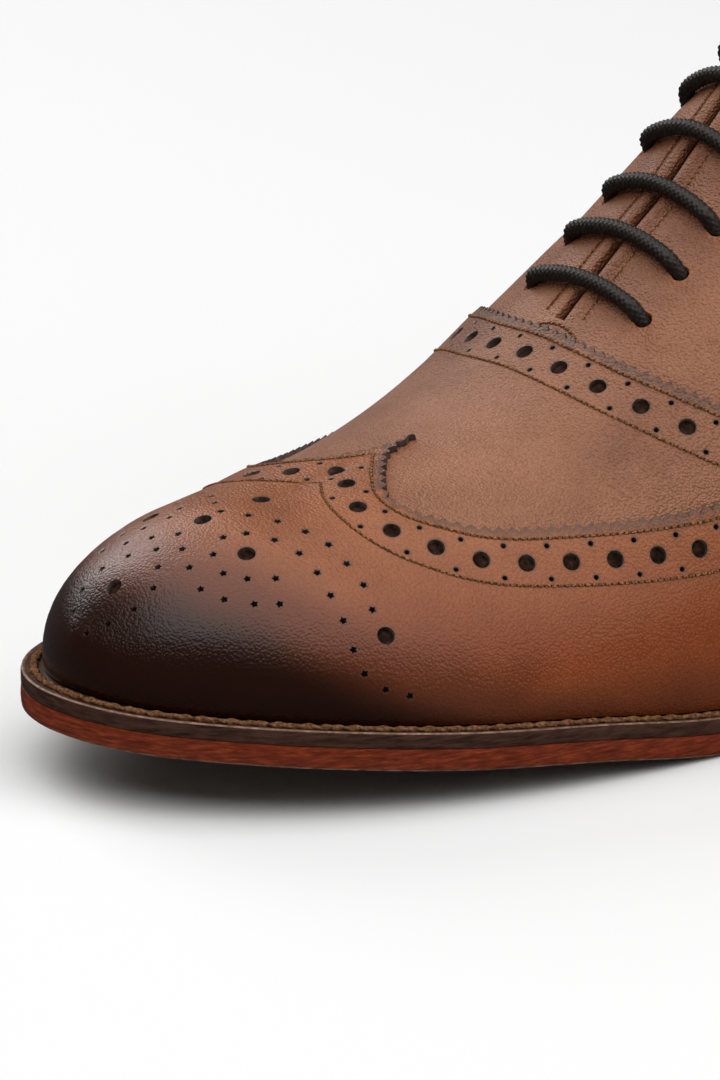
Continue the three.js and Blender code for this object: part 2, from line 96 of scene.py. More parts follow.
# Sections of the last from toe to heel, at even steps of t: the same shares as the solids are made from
SECTION_COLUMNS = ("along", "lateral", "medial", "spring", "seat", "rise", "ridge", "side",
                   "top_lateral", "top_medial", "bulge", "lean", "edge")
SECTIONS = np.array((
    (0.0129, -0.070, -0.070, 0.945, 0.000, 0.067, -0.070, 0.57, 0.50, 0.52, 0.007, 0.000, 1.00),
    (0.0229, 0.077, -0.193, 0.920, 0.000, 0.114, -0.066, 0.59, 0.51, 0.54, 0.009, 0.000, 1.00),
    (0.0527, 0.210, -0.295, 0.865, 0.000, 0.193, -0.039, 0.59, 0.51, 0.54, 0.015, 0.000, 1.00),
    (0.1024, 0.330, -0.380, 0.730, 0.000, 0.262, -0.020, 0.57, 0.49, 0.51, 0.020, 0.000, 1.00),
    (0.1686, 0.424, -0.442, 0.530, 0.000, 0.296, -0.003, 0.57, 0.46, 0.51, 0.028, 0.000, 1.00),
    (0.2481, 0.486, -0.472, 0.320, 0.000, 0.354, 0.004, 0.61, 0.42, 0.49, 0.035, 0.000, 1.00),
    (0.3342, 0.518, -0.481, 0.015, 0.000, 0.479, 0.000, 0.70, 0.38, 0.48, 0.048, 0.000, 1.00),
    (0.4203, 0.499, -0.440, -0.050, 0.000, 0.650, -0.012, 0.72, 0.36, 0.46, 0.050, 0.000, 0.95),
    (0.5064, 0.444, -0.368, 0.000, 0.200, 0.798, -0.024, 0.70, 0.35, 0.44, 0.049, 0.000, 0.75),
    (0.5925, 0.383, -0.307, 0.000, 0.450, 0.898, -0.027, 0.65, 0.35, 0.41, 0.047, 0.000, 0.60),
    (0.6785, 0.345, -0.295, 0.000, 0.680, 0.970, -0.015, 0.57, 0.34, 0.37, 0.043, 0.000, 0.55),
    (0.7580, 0.330, -0.305, 0.000, 0.855, 1.000, 0.000, 0.52, 0.32, 0.32, 0.042, 0.013, 0.50),
    (0.8330, 0.330, -0.318, 0.000, 0.945, 1.000, 0.000, 0.50, 0.32, 0.32, 0.042, 0.033, 0.50),
    (0.9007, 0.308, -0.300, 0.000, 0.990, 1.000, 0.000, 0.50, 0.30, 0.30, 0.047, 0.053, 0.50),
    (0.9523, 0.250, -0.250, 0.000, 1.000, 1.000, 0.000, 0.50, 0.28, 0.28, 0.052, 0.066, 0.50),
    (0.9834, 0.155, -0.155, 0.000, 1.000, 1.000, 0.000, 0.50, 0.26, 0.26, 0.057, 0.073, 0.50),
    (0.9935, 0.000, 0.000, 0.000, 1.000, 1.000, 0.000, 0.50, 0.25, 0.25, 0.060, 0.073, 0.50),
))
# Edges of the panels: up the side from the sole to the ridge, then shares of SHOE_LENGTH
CAP_EDGE = np.array((
    (0.000, 0.655, 0.645), (0.060, 0.598, 0.588), (0.130, 0.532, 0.522), (0.200, 0.468, 0.456),
    (0.285, 0.400, 0.386), (0.385, 0.330, 0.315), (0.475, 0.275, 0.262), (0.570, 0.2265, 0.216),
    (0.655, 0.204, 0.197), (0.720, 0.194, 0.188), (0.790, 0.193, 0.189), (0.860, 0.202, 0.1955),
    (0.920, 0.2127, 0.206), (0.975, 0.226, 0.227), (1.000, 0.249, 0.249),
))
VAMP_EDGE = np.array((
    (0.000, 0.497, 0.500), (0.100, 0.485, 0.490), (0.200, 0.463, 0.470), (0.300, 0.435, 0.445),
    (0.380, 0.410, 0.422), (0.450, 0.390, 0.403), (0.530, 0.376, 0.386), (0.610, 0.366, 0.373),
    (0.700, 0.358, 0.364), (0.800, 0.353, 0.356), (0.900, 0.351, 0.352), (1.000, 0.351, 0.351),
))
# Top line of the quarters: share of SHOE_LENGTH, of the height of the facings and of COLLAR_HEIGHT
TOP_LINE = np.array((
    (0.550, 1.05, 0.000), (0.590, 0.70, 0.290), (0.640, 0.38, 0.560), (0.690, 0.17, 0.730),
    (0.740, 0.05, 0.825), (0.790, 0.00, 0.865), (0.840, 0.00, 0.870), (0.890, 0.00, 0.910),
    (0.940, 0.00, 0.965), (0.985, 0.00, 1.000), (1.010, 0.00, 1.005),
))
TONGUE_EDGE = np.array((
    (0.00, 0.34), (0.06, 0.36), (0.30, 0.40), (0.60, 0.47),
    (0.84, 0.52), (0.93, 0.49), (0.975, 0.42), (1.00, 0.30),
))
COUNTER_EDGE = np.array((
    (0.00, 0.04), (0.10, 0.24), (0.25, 0.48), (0.45, 0.72), (0.65, 0.88), (0.82, 0.97), (1.00, 1.00),
))

LAST_ROW = len(SECTIONS) - 1


def ghost(end, following):
    row = 2 * end - following
    row[0] = following[0]
    return row


PADDED = np.vstack((ghost(SECTIONS[0], SECTIONS[1]), SECTIONS, ghost(SECTIONS[-1], SECTIONS[-2])))


def section(t):
    """Every column of the section table at t, as smooth curves through its rows."""
    place = np.clip(np.atleast_1d(np.asarray(t, float)), 0, 1) * LAST_ROW
    row = np.minimum(place.astype(int), LAST_ROW - 1)
    f = (place - row)[:, None]
    a, b, c, d = (PADDED[row + k] for k in range(4))
    values = b + 0.5 * f * (c - a + f * (2 * a - 5 * b + 4 * c - d + f * (3 * (b - c) + d - a)))
    return dict(zip(SECTION_COLUMNS, values.T))


def curve(table, at, column):
    """A table read as a smooth curve of its first column."""
    rows = table[:, 0]
    last = len(rows) - 1
    place = np.clip(np.atleast_1d(np.asarray(at, float)), rows[0], rows[last])
    row = np.clip(np.searchsorted(rows, place, side="left") - 1, 0, last - 1)
    before, start, end, after = (table[np.clip(row + k, 0, last)] for k in (-1, 0, 1, 2))
    width = end[:, 0] - start[:, 0]
    f = (place - start[:, 0]) / width
    slope_start = (end[:, column] - before[:, column]) / (end[:, 0] - before[:, 0])
    slope_end = (after[:, column] - start[:, column]) / (after[:, 0] - start[:, 0])
    ease = f * f * (3 - 2 * f)
    tangents = slope_start * f * (1 - f) ** 2 - slope_end * f * f * (1 - f)
    return start[:, column] + (end[:, column] - start[:, column]) * ease + tangents * width


def smoothstep(x, low, high):
    f = np.clip((np.asarray(x, float) - low) / (high - low), 0, 1)
    return f * f * (3 - 2 * f)


FINE_T = np.linspace(0, 1, 8001)
FINE_Y = section(FINE_T)["along"] * SHOE_LENGTH


def t_at(y):
    return np.interp(np.asarray(y, float), FINE_Y, FINE_T)


def sole_bottom(t):
    s = section(t)
    return np.maximum(0, s["spring"] * TOE_SPRING + s["seat"] * HEEL_HEIGHT)


def foot_height(t):
    return sole_bottom(t) + SOLE_STACK


def plan_normal(t, side):
    """Outward in plan at the foot line. Side is 1 for the lateral side and -1 for the medial."""
    t, side = np.broadcast_arrays(np.asarray(t, float), np.asarray(side, float))
    before, after = section(t.ravel() - 1e-3), section(t.ravel() + 1e-3)
    flank = np.where(side.ravel() > 0, before["lateral"] - after["lateral"],
                     before["medial"] - after["medial"])
    along = (after["along"] - before["along"]) * SHOE_LENGTH
    normal = np.stack((along * side.ravel(), flank * BALL_WIDTH * side.ravel()), 1)
    normal[t.ravel() < 1e-6] = (0, -1)
    normal[t.ravel() > 1 - 1e-6] = (0, 1)
    return normal / np.linalg.norm(normal, axis=1, keepdims=True)


def foot_line(t, side, outward=0.0):
    s = section(t)
    side = np.broadcast_to(side, s["along"].shape)
    normal = plan_normal(t, side)
    x = np.where(side > 0, s["lateral"], s["medial"]) * BALL_WIDTH + normal[:, 0] * outward
    return np.stack((x, s["along"] * SHOE_LENGTH + normal[:, 1] * outward, foot_height(t)), 1)


def skin(t, v):
    """The outside of the shoe: v is 0 at the lateral foot line, 1 at the ridge, 2 at the medial foot line."""
    t, v = (np.asarray(a, float).ravel() for a in np.broadcast_arrays(t, v))
    s = section(t)
    side = np.where(v <= 1, 1.0, -1.0)
    up = np.where(v <= 1, v, 2 - v)[:, None]
    normal = plan_normal(t, side)
    rise = s["rise"] * LAST_HEIGHT
    foot = foot_line(t, side)
    ridge = np.stack((s["ridge"] * BALL_WIDTH, (s["along"] - s["lean"]) * SHOE_LENGTH, foot[:, 2] + rise),
                     1)
    bulge = (s["bulge"] * BALL_WIDTH)[:, None]
    low = foot + np.column_stack((normal * bulge, s["side"] * rise))
    top = np.where(side > 0, s["top_lateral"], s["top_medial"])[:, None]
    high = ridge + (foot - ridge) * top
    high[:, 2] = ridge[:, 2]
    w = 1 - up
    return w ** 3 * foot + 3 * w * w * up * low + 3 * w * up * up * high + up ** 3 * ridge


def outward(t, v):
    """Unit normals of the skin."""
    t, v = (np.asarray(a, float).ravel() for a in np.broadcast_arrays(t, v))
    pole = 0.004
    near = np.clip(t, pole, 1 - pole)
    normal = _outward(near, v)
    at_pole = np.abs(near - t) > 0
    if at_pole.any():
        normal[at_pole] += _outward(near[at_pole], 2 - v[at_pole])
        normal[at_pole] /= np.linalg.norm(normal[at_pole], axis=1, keepdims=True)
    return normal


def _outward(t, v):
    e = 1e-3
    along = skin(t + e, v) - skin(t - e, v)
    over = skin(t, np.minimum(v + e, 2)) - skin(t, np.maximum(v - e, 0))
    normal = np.cross(along, over)
    normal /= np.linalg.norm(normal, axis=1, keepdims=True)
    up = np.where(v <= 1, v, 2 - v)
    normal[:, 2] *= smoothstep(up, 0, 0.12)
    return normal / np.linalg.norm(normal, axis=1, keepdims=True)


# Arc lengths over the skin from the ridge, on a grid that is finer at toe and heel
GRID_T = 480
GRID_V = 160
grid_t = (1 - np.cos(np.pi * np.arange(GRID_T + 1) / GRID_T)) / 2
grid_up = np.arange(GRID_V + 1) / GRID_V


def arc_grid(side):
    v = 1 - side * (1 - grid_up[::-1])
    points = skin(grid_t[:, None], v[None, :]).reshape(GRID_T + 1, GRID_V + 1, 3)
    steps = np.linalg.norm(np.diff(points, axis=1), axis=2)
    return np.concatenate((np.zeros((GRID_T + 1, 1)), np.cumsum(steps, axis=1)), 1)


ARCS = {1: arc_grid(1), -1: arc_grid(-1)}


def grid_place(t):
    place = np.arccos(1 - 2 * np.clip(t, 0, 1)) / np.pi * GRID_T
    row = np.minimum(place.astype(int), GRID_T - 1)
    return row, place - row


def arc_rows(t, side):
    row, f = grid_place(np.asarray(t, float))
    lateral = ARCS[1][row] * (1 - f)[:, None] + ARCS[1][row + 1] * f[:, None]
    medial = ARCS[-1][row] * (1 - f)[:, None] + ARCS[-1][row + 1] * f[:, None]
    return np.where((np.broadcast_to(side, f.shape) > 0)[:, None], lateral, medial)


def arc(t, v):
    """Distance over the skin from the ridge to a place."""
    t, v = (np.asarray(a, float).ravel() for a in np.broadcast_arrays(t, v))
    side = np.where(v <= 1, 1, -1)
    place = np.abs(1 - v) * GRID_V
    column = np.minimum(place.astype(int), GRID_V - 1)
    g = place - column
    rows = arc_rows(t, side)
    pick = np.arange(len(t))
    return rows[pick, column] * (1 - g) + rows[pick, column + 1] * g


def from_ridge(t, side, distance):
    """The v that lies a distance over the skin from the ridge."""
    t, side, distance = (np.asarray(a, float).ravel() for a in np.broadcast_arrays(t, side, distance))
    rows = arc_rows(t, side)
    column = np.clip((rows < distance[:, None]).sum(1) - 1, 0, GRID_V - 1)
    pick = np.arange(len(t))
    low, high = rows[pick, column], rows[pick, column + 1]
    up = (column + np.clip((distance - low) / (high - low), 0, 1)) / GRID_V
    return 1 - np.where(side > 0, 1, -1) * up


def from_foot(t, side, distance):
    t, side, distance = (np.asarray(a, float).ravel() for a in np.broadcast_arrays(t, side, distance))
    return from_ridge(t, side, arc_rows(t, side)[:, -1] - distance)


def flat(t, v):
    """A place on the skin laid flat: near enough true to size for cutting patterns."""
    t, v = (np.asarray(a, float).ravel() for a in np.broadcast_arrays(t, v))
    side = np.where(v <= 1, 1.0, -1.0)
    plan = skin(t, v)[:, :2]
    s = section(t)
    ridge = np.stack((s["ridge"] * BALL_WIDTH, (s["along"] - s["lean"]) * SHOE_LENGTH), 1)
    spare = arc(t, v) - np.linalg.norm(plan - ridge, axis=1)
    return plan + plan_normal(t, side) * spare[:, None]


def ahead_of(edge, t, v):
    up = np.where(v <= 1, v, 2 - v)
    reach = np.where(v <= 1, curve(edge, up, 1), curve(edge, up, 2))
    return (reach - section(t)["along"]) * SHOE_LENGTH


CAP_SPACE = CAP_THICKNESS + LAYER_GAP
VAMP_SPACE = VAMP_THICKNESS + LAYER_GAP


def cap_drop(t, v):
    return CAP_SPACE * smoothstep(ahead_of(CAP_EDGE, t, v), 0, COVER_LENGTH)


def wall_outer(t, v):
    under = smoothstep(ahead_of(VAMP_EDGE, t, v), 0, COVER_LENGTH)
    return cap_drop(t, v) + QUARTER_DEPTH + (VAMP_SPACE - QUARTER_DEPTH) * under


def wall_inner(t, v):
    return wall_outer(t, v) + WALL_THICKNESS


def vamp_outer(t, v):
    return wall_outer(t, v) - LAYER_GAP - VAMP_THICKNESS


def cap_outer(t, v):
    ahead = ahead_of(VAMP_EDGE, t, v)
    over = np.where(ahead > 0, 1 - smoothstep(ahead, 0, COVER_LENGTH),
                    1 - smoothstep(-ahead, 0, STEP_LENGTH))
    return cap_drop(t, v) + (QUARTER_DEPTH - VAMP_SPACE) * over - LAYER_GAP - CAP_THICKNESS


def counter_outer(t, v):
    return np.full(np.size(t), QUARTER_DEPTH - LAYER_GAP - COUNTER_THICKNESS)


THROAT_FOOT = curve(VAMP_EDGE, 1, 1)[0] * SHOE_LENGTH + THROAT_PAST_VAMP
TOP_RIDGE = THROAT_FOOT + FACING_LENGTH
FACING_TOP = skin(t_at(TOP_RIDGE), 1.0)[0, 2]


def collar_z(y):
    share = np.asarray(y) / SHOE_LENGTH
    return curve(TOP_LINE, share, 1) * FACING_TOP + curve(TOP_LINE, share, 2) * COLLAR_HEIGHT


def wall_top(t, side):
    """The v of the quarters' top edge, at the facing or at the collar."""
    t = np.atleast_1d(np.asarray(t, float))
    low, high = np.zeros(len(t)), np.ones(len(t))
    for _ in range(30):
        middle = (low + high) / 2
        point = skin(t, 1 - side * (1 - middle))
        over = point[:, 2] > collar_z(point[:, 1])
        high = np.where(over, middle, high)
        low = np.where(over, low, middle)
    collar = 1 - side * (1 - (low + high) / 2)
    throat = from_ridge(t, side, THROAT_GAP / 2)
    return np.minimum(throat, collar) if side > 0 else np.maximum(throat, collar)


# From the last's millimetres to the frame's metres
def frame_shift():
    low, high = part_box("outsole")
    t = np.linspace(0, 1, 2001)
    rim = np.vstack([foot_line(t, side, section(t)["edge"] * WELT_WIDTH) for side in (1, -1)])
    middle = (rim.min(0) + rim.max(0)) / 2
    return np.array(((low.x + high.x) * 500 - middle[0], (low.y + high.y) * 500 - middle[1], 0.0))


SHIFT = frame_shift()


def to_frame(points):
    return (np.asarray(points) + SHIFT) / 1000


class FlatPattern:
    """Finds the places on the skin for points of the flat pattern."""

    def __init__(self):
        t = (1 - np.cos(np.pi * np.arange(1, 300) / 300)) / 2
        v = np.linspace(0, 2, 161)
        self.t, self.v = (a.ravel() for a in np.meshgrid(t, v, indexing="ij"))
        spots = flat(self.t, self.v)
        self.tree = kdtree.KDTree(len(spots))
        for index, (x, y) in enumerate(spots):
            self.tree.insert((x, y, 0), index)
        self.tree.balance()

    def places(self, points):
        found = [self.tree.find((x, y, 0))[1] for x, y in points]
        t, v = self.t[found].copy(), self.v[found].copy()
        side = np.where(v <= 1, 1, -1)
        e = 2e-4
        for _ in range(8):
            here = flat(t, v)
            by_t = (flat(np.minimum(t + e, 1), v) - flat(np.maximum(t - e, 0), v)) / (
                np.minimum(t + e, 1) - np.maximum(t - e, 0))[:, None]
            low, high = np.where(side > 0, 0, 1 + 1e-9), np.where(side > 0, 1, 2)
            after, before = np.minimum(v + e, high), np.maximum(v - e, low)
            by_v = (flat(t, after) - flat(t, before)) / (after - before)[:, None]
            miss = points - here
            size = by_t[:, 0] * by_v[:, 1] - by_t[:, 1] * by_v[:, 0]
            size = np.where(np.abs(size) < 1e-6, 1e-6, size)
            step_t = (miss[:, 0] * by_v[:, 1] - miss[:, 1] * by_v[:, 0]) / size
            step_v = (by_t[:, 0] * miss[:, 1] - by_t[:, 1] * miss[:, 0]) / size
            t = np.clip(t + np.clip(step_t, -0.02, 0.02), 0, 1)
            v = np.clip(v + np.clip(step_v, -0.08, 0.08), 0, 2)
            side = np.where(v <= 1, 1, -1)
        return t, v


PATTERN = FlatPattern()


def move(t, v, offsets):
    """Places that lie a small distance off, the offsets given as vectors in millimetres."""
    e = 5e-4
    t = np.array(t, float)
    v = np.array(v, float)
    for _ in range(2):
        ahead, behind = np.minimum(t + e, 1), np.maximum(t - e, 0)
        by_t = (skin(ahead, v) - skin(behind, v)) / (ahead - behind)[:, None]
        over, under = np.minimum(v + e, 2), np.maximum(v - e, 0)
        by_v = (skin(t, over) - skin(t, under)) / (over - under)[:, None]
        a, b, c = (by_t * by_t).sum(1), (by_t * by_v).sum(1), (by_v * by_v).sum(1)
        p, q = (by_t * offsets).sum(1) / 2, (by_v * offsets).sum(1) / 2
        size = np.maximum(a * c - b * b, 1e-6)
        t = np.clip(t + (p * c - q * b) / size, 0, 1)
        v = np.clip(v + (a * q - b * p) / size, 0, 2)
    return t, v


class Path:
    """A line over the skin, with its points, directions and lengths."""

    def __init__(self, t, v, closed=False):
        self.t, self.v, self.closed = np.asarray(t, float), np.asarray(v, float), closed
        self.points = skin(self.t, self.v)
        self.normals = outward(self.t, self.v)
        around = self.points[[-2, *range(len(self.t)), 1]] if closed else self.points
        tangent = around[2:] - around[:-2] if closed else np.gradient(around, axis=0)
        self.tangents = tangent / np.maximum(np.linalg.norm(tangent, axis=1, keepdims=True), 1e-9)
        inward = np.cross(self.normals, self.tangents)
        self.left = inward / np.maximum(np.linalg.norm(inward, axis=1, keepdims=True), 1e-9)
        steps = np.linalg.norm(np.diff(self.points, axis=0), axis=1)
        self.lengths = np.concatenate(([0], np.cumsum(steps)))

    @property
    def length(self):
        return self.lengths[-1]

    def at(self, lengths):
        """Places at lengths along the line."""
        return Path(np.interp(lengths, self.lengths, self.t), np.interp(lengths, self.lengths, self.v))

    def evenly(self, step):
        count = max(int(round(self.length / step)), 2)
        return self.at(np.linspace(0, self.length, count + 1))

    def beside(self, distance, step=1.0):
        """The line moved over the skin to its left, without the loops at tight corners."""
        line = self.evenly(step)
        t, v = line.t, line.v
        count = max(int(abs(distance) / 1.5), 1)
        for _ in range(count):
            normals = outward(t, v)
            left = line.left - normals * (line.left * normals).sum(1, keepdims=True)
            left /= np.linalg.norm(left, axis=1, keepdims=True)
            t, v = move(t, v, left * distance / count)
        moved = skin(t, v)
        near = np.linalg.norm(moved[:, None] - line.points[None], axis=2).min(1)
        kept = near > abs(distance) * 0.965
        return Path(t[kept], v[kept])

    def shifted(self, distances):
        """The same points moved to the left by a distance each."""
        return move(self.t, self.v, self.left * np.asarray(distances)[:, None])


def edge_path(edge, low=0.0, count=900):
    """The line of an edge table over the shoe, from the lateral side to the medial."""
    f = np.linspace(low, 2 - low, count)
    up = np.where(f <= 1, f, 2 - f)
    reach = np.where(f <= 1, curve(edge, up, 1), curve(edge, up, 2))
    return Path(t_at(reach * SHOE_LENGTH), f)


def pinked(path, pitch, depth):
    """A saw-toothed edge that stays inside a line whose right side is the open side."""
    count = int(round(path.length / pitch))
    line = path.at(np.linspace(0, path.length, count * 4 + 1))
    return line.shifted(np.resize((depth, depth * 0.45, 0, depth * 0.45), len(line.t)))


def ring(t, v, radius, count, star=0.0):
    """A round or star-shaped outline about a place."""
    t, v = np.full(count, float(t)), np.full(count, float(v))
    normal = outward(t, v)
    across = np.cross(normal, (0.0, 0.0, 1.0))
    across /= np.linalg.norm(across, axis=1, keepdims=True)
    over = np.cross(normal, across)
    angle = np.arange(count) * 2 * np.pi / count
    reach = radius * (1 + star * np.where(np.arange(count) % 2, -1, 1))
    offset = (across * np.cos(angle)[:, None] + over * np.sin(angle)[:, None]) * reach[:, None]
    return move(t, v, offset)


# Soft creases and hollows, as y, r (from the ridge, lateral positive), direction in degrees from across
# to along, half length, half width and height, in millimetres
RELIEF = (
    (80.0, -4.0, 60.0, 14.0, 6.0, -0.55),
    (87.0, 6.0, 35.0, 16.0, 5.0, 0.25),
    (122.0, -19.0, 75.0, 12.0, 4.0, -0.5),
    (131.0, -22.0, 80.0, 11.0, 3.5, 0.35),
    (92.0, 40.0, 20.0, 22.0, 7.0, -0.25),
)


def relief(t, v):
    y = section(t)["along"] * SHOE_LENGTH
    r = arc(t, v) * np.where(np.ravel(v) <= 1, 1, -1)
    height = np.zeros(len(y))
    for at_y, at_r, turn, long, wide, high in RELIEF:
        c, s = math.cos(math.radians(turn)), math.sin(math.radians(turn))
        along, across = (r - at_r) * c + (y - at_y) * s, (y - at_y) * c - (r - at_r) * s
        height += high * np.exp(-(along / long) ** 2 - (across / wide) ** 2)
    return height


def on_skin(t, v, depth):
    return skin(t, v) + outward(t, v) * (relief(t, v) - np.asarray(depth))[:, None]


def true_normals(t, v, depth):
    """Which way the outside faces at each place, from the places a little to each side of it."""
    normal = outward(t, v)
    across = np.cross(normal, (0.0, 0.0, 1.0))
    across /= np.maximum(np.linalg.norm(across, axis=1, keepdims=True), 1e-9)
    over = np.cross(normal, across)
    near = []
    for way in (across, -across, over, -over):
        places = move(t, v, way * 0.35)
        near.append(on_skin(*places, depth(*places)))
    found = np.cross(near[0] - near[1], near[2] - near[3])
    found /= np.maximum(np.linalg.norm(found, axis=1, keepdims=True), 1e-9)
    facing = (found * normal).sum(1)
    found *= np.sign(facing)[:, None]
    found[np.abs(facing) < 0.6] = 0
    return found


def make_piece(name, points, faces, materials, finish=None, slot=None, stands_for=(), angle=40,
               attributes=None,
               shading=None):
    mesh = bpy.data.meshes.new(name)
    mesh.from_pydata(to_frame(points).tolist(), [], [tuple(int(i) for i in face) for face in faces])
    for material in materials:
        mesh.materials.append(material)
    if finish is not None:
        mesh.polygons.foreach_set("material_index", np.asarray(finish, np.int32))
    mesh.shade_smooth()
    mesh.set_sharp_from_angle(angle=math.radians(angle))
    for key, values in (attributes or {}).items():
        layer = mesh.attributes.new(key, "FLOAT", "POINT")
        layer.data.foreach_set("value", np.asarray(values, np.float32))
    mesh.update()
    if shading is not None:
        corners = np.zeros((len(mesh.loops), 3))
        corners[:len(shading)] = shading
        mesh.normals_split_custom_set(corners.tolist())
    piece = bpy.data.objects.new(name, mesh)
    bpy.context.scene.collection.objects.link(piece)
    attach(piece, "root")
    if stands_for:
        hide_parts(*stands_for)
    return piece


SHEET_STEP = 1.9


def inside_cuts(faces, cuts):
    """The triangles within the outline and outside the holes: each cut crossed from the open side turns over
    whether what lies behind it is leather."""
    neighbours = {}
    for index, face in enumerate(faces):
        for k in range(3):
            neighbours.setdefault(tuple(sorted((face[k], face[(k + 1) % 3]))), []).append(index)
    leather_side = {}
    queue = []
    for edge, sharing in neighbours.items():
        if len(sharing) == 1 and sharing[0] not in leather_side:
            leather_side[sharing[0]] = edge in cuts
            queue.append(sharing[0])
    while queue:
        index = queue.pop()
        face = faces[index]
        for k in range(3):
            edge = tuple(sorted((face[k], face[(k + 1) % 3])))
            for other in neighbours[edge]:
                if other not in leather_side:
                    leather_side[other] = leather_side[index] ^ (edge in cuts)
                    queue.append(other)
    return np.array([face for index, face in enumerate(faces) if leather_side[index]], int)


def cut_sheet(outline, holes, step=SHEET_STEP, rings=()):
    """Triangles of a leather panel: its outline, its holes and rings of extra points, all as (t, v)."""
    loops = [outline, *holes]
    t = np.concatenate([loop[0] for loop in loops])
    v = np.concatenate([loop[1] for loop in loops])
    edges = []
    start = 0
    for loop in loops:
        count = len(loop[0])
        edges += [(start + k, start + (k + 1) % count) for k in range(count)]
        start += count
    if rings:
        t = np.concatenate([t, *[r[0] for r in rings]])
        v = np.concatenate([v, *[r[1] for r in rings]])
    fixed = flat(t, v)
    low, high = fixed.min(0) - step, fixed.max(0) + step
    rows = np.arange(low[1], high[1], step * 0.866)
    grid = np.concatenate([np.column_stack((np.arange(low[0] + (k % 2) * step / 2, high[0], step), np.full(
        len(np.arange(low[0] + (k % 2) * step / 2, high[0], step)), y))) for k, y in enumerate(rows)])
    tree = kdtree.KDTree(len(fixed))
    for index, (x, y) in enumerate(fixed):
        tree.insert((x, y, 0), index)
    tree.balance()
    grid = np.array([p for p in grid if tree.find((p[0], p[1], 0))[2] > step * 0.5])
    spots = [Vector(p) for p in np.vstack((fixed, grid)).tolist()]
    verts, lines, faces, origins, line_origins, _ = delaunay_2d_cdt(spots, edges, [], 0, 1e-5, True)
    cuts = {tuple(sorted(line)) for line, origin in zip(lines, line_origins) if origin}
    faces = inside_cuts(faces, cuts)
    used = np.unique(faces)
    renumber = np.full(len(verts), -1)
    renumber[used] = np.arange(len(used))
    faces = renumber[faces]
    spots = np.array([verts[k] for k in used])
    origin = np.array([min(origins[k]) if origins[k] else -1 for k in used])
    known = (origin >= 0) & (origin < len(t))
    at_t, at_v = np.zeros(len(used)), np.zeros(len(used))
    at_t[known], at_v[known] = t[origin[known]], v[origin[known]]
    if (~known).any():
        at_t[~known], at_v[~known] = PATTERN.places(spots[~known])
    points = skin(at_t, at_v)
    normals = outward(at_t, at_v)
    a, b, c = (points[faces[:, k]] for k in range(3))
    facing = np.cross(b - a, c - a)
    turned = (facing * normals[faces[:, 0]]).sum(1) < 0
    faces[turned] = faces[turned][:, ::-1]
    faces = faces[np.linalg.norm(facing, axis=1) > 1e-7]
    return at_t, at_v, faces


def border(faces):
    """The directed edges that only one triangle has."""
    edges = np.concatenate((faces[:, (0, 1)], faces[:, (1, 2)], faces[:, (2, 0)]))
    key = set(map(tuple, edges.tolist()))
    return np.array([e for e in edges.tolist() if (e[1], e[0]) not in key], int).reshape(-1, 2)


def leather_piece(name, outline, holes, outer, inner, materials, rings=(), step=SHEET_STEP, rim=0.16,
                  roll=None,
                  under=1, **options):
    """A panel with thickness. Roll gives its rounded edges their bulge where it returns more than 0."""
    t, v, faces = cut_sheet(outline, holes, step, rings)
    edges = border(faces)
    at_edge = np.zeros(len(t), bool)
    at_edge[edges.ravel()] = True
    top_depth, low_depth = outer(t, v), inner(t, v)
    if roll is None:
        top_depth = top_depth + np.where(at_edge, rim, 0)
    top, low = on_skin(t, v, top_depth), on_skin(t, v, low_depth)
    count = len(t)
    raw = at_edge & (v > 1e-4) & (v < 2 - 1e-4)
    if roll is not None:
        raw &= roll(t, v) == 0.25
    shading = true_normals(t, v, outer)[faces.ravel()]
    worn = [raw.astype(float), np.zeros(count)]
    points = [top, low]
    all_faces = [faces, faces[:, ::-1] + count]
    finish = [np.zeros(len(faces), int), np.full(len(faces), under)]
    layers = [np.arange(count), np.arange(count) + count]
    if roll is not None:
        normals = outward(t, v)
        out = np.zeros((count, 3))
        along = top[edges[:, 1]] - top[edges[:, 0]]
        away = np.cross(along, normals[edges[:, 0]])
        np.add.at(out, edges[:, 0], away)
        np.add.at(out, edges[:, 1], away)
        out /= np.maximum(np.linalg.norm(out, axis=1, keepdims=True), 1e-9)
        members = np.flatnonzero(at_edge)
        bulge = roll(t[members], v[members])[:, None] * (low_depth - top_depth)[members, None] / 2
        middle = (top + low)[members] / 2
        half = (top - low)[members] / 2
        sequence = [layers[0]]
        for k in range(1, 6):
            angle = math.pi * k / 6
            points.append(middle + half * math.cos(angle) + out[members] * bulge * math.sin(angle))
            worn.append(raw[members].astype(float))
            index = np.full(count, -1)
            index[members] = sum(len(p) for p in points[:-1]) + np.arange(len(members))
            sequence.append(index)
        sequence.append(layers[1])
    else:
        sequence = layers
    for upper_row, lower_row in zip(sequence[:-1], sequence[1:]):
        a, b = edges.T
        quads = np.column_stack((upper_row[a], lower_row[a], lower_row[b], upper_row[b]))
        all_faces.append(quads)
        finish.append(np.full(len(quads), 0 if roll is not None else 2))
    faces = [tuple(face) for block in all_faces for face in block.tolist()]
    return make_piece(name, np.vstack(points), faces, materials, np.concatenate(finish),
                      attributes={"edge": np.concatenate(worn)}, shading=shading, **options)


def sweep(rows, closed_rows=True, closed_profile=True):
    """Quads over rows of points, all of one length, with the outside on the left of the profile."""
    rows = np.asarray(rows)
    n, m = rows.shape[:2]
    faces = []
    for i in range(n if closed_rows else n - 1):
        for j in range(m if closed_profile else m - 1):
            a, b = i * m + j, i * m + (j + 1) % m
            c, d = ((i + 1) % n) * m + (j + 1) % m, ((i + 1) % n) * m + j
            faces.append((a, b, c, d))
    return rows.reshape(-1, 3), faces


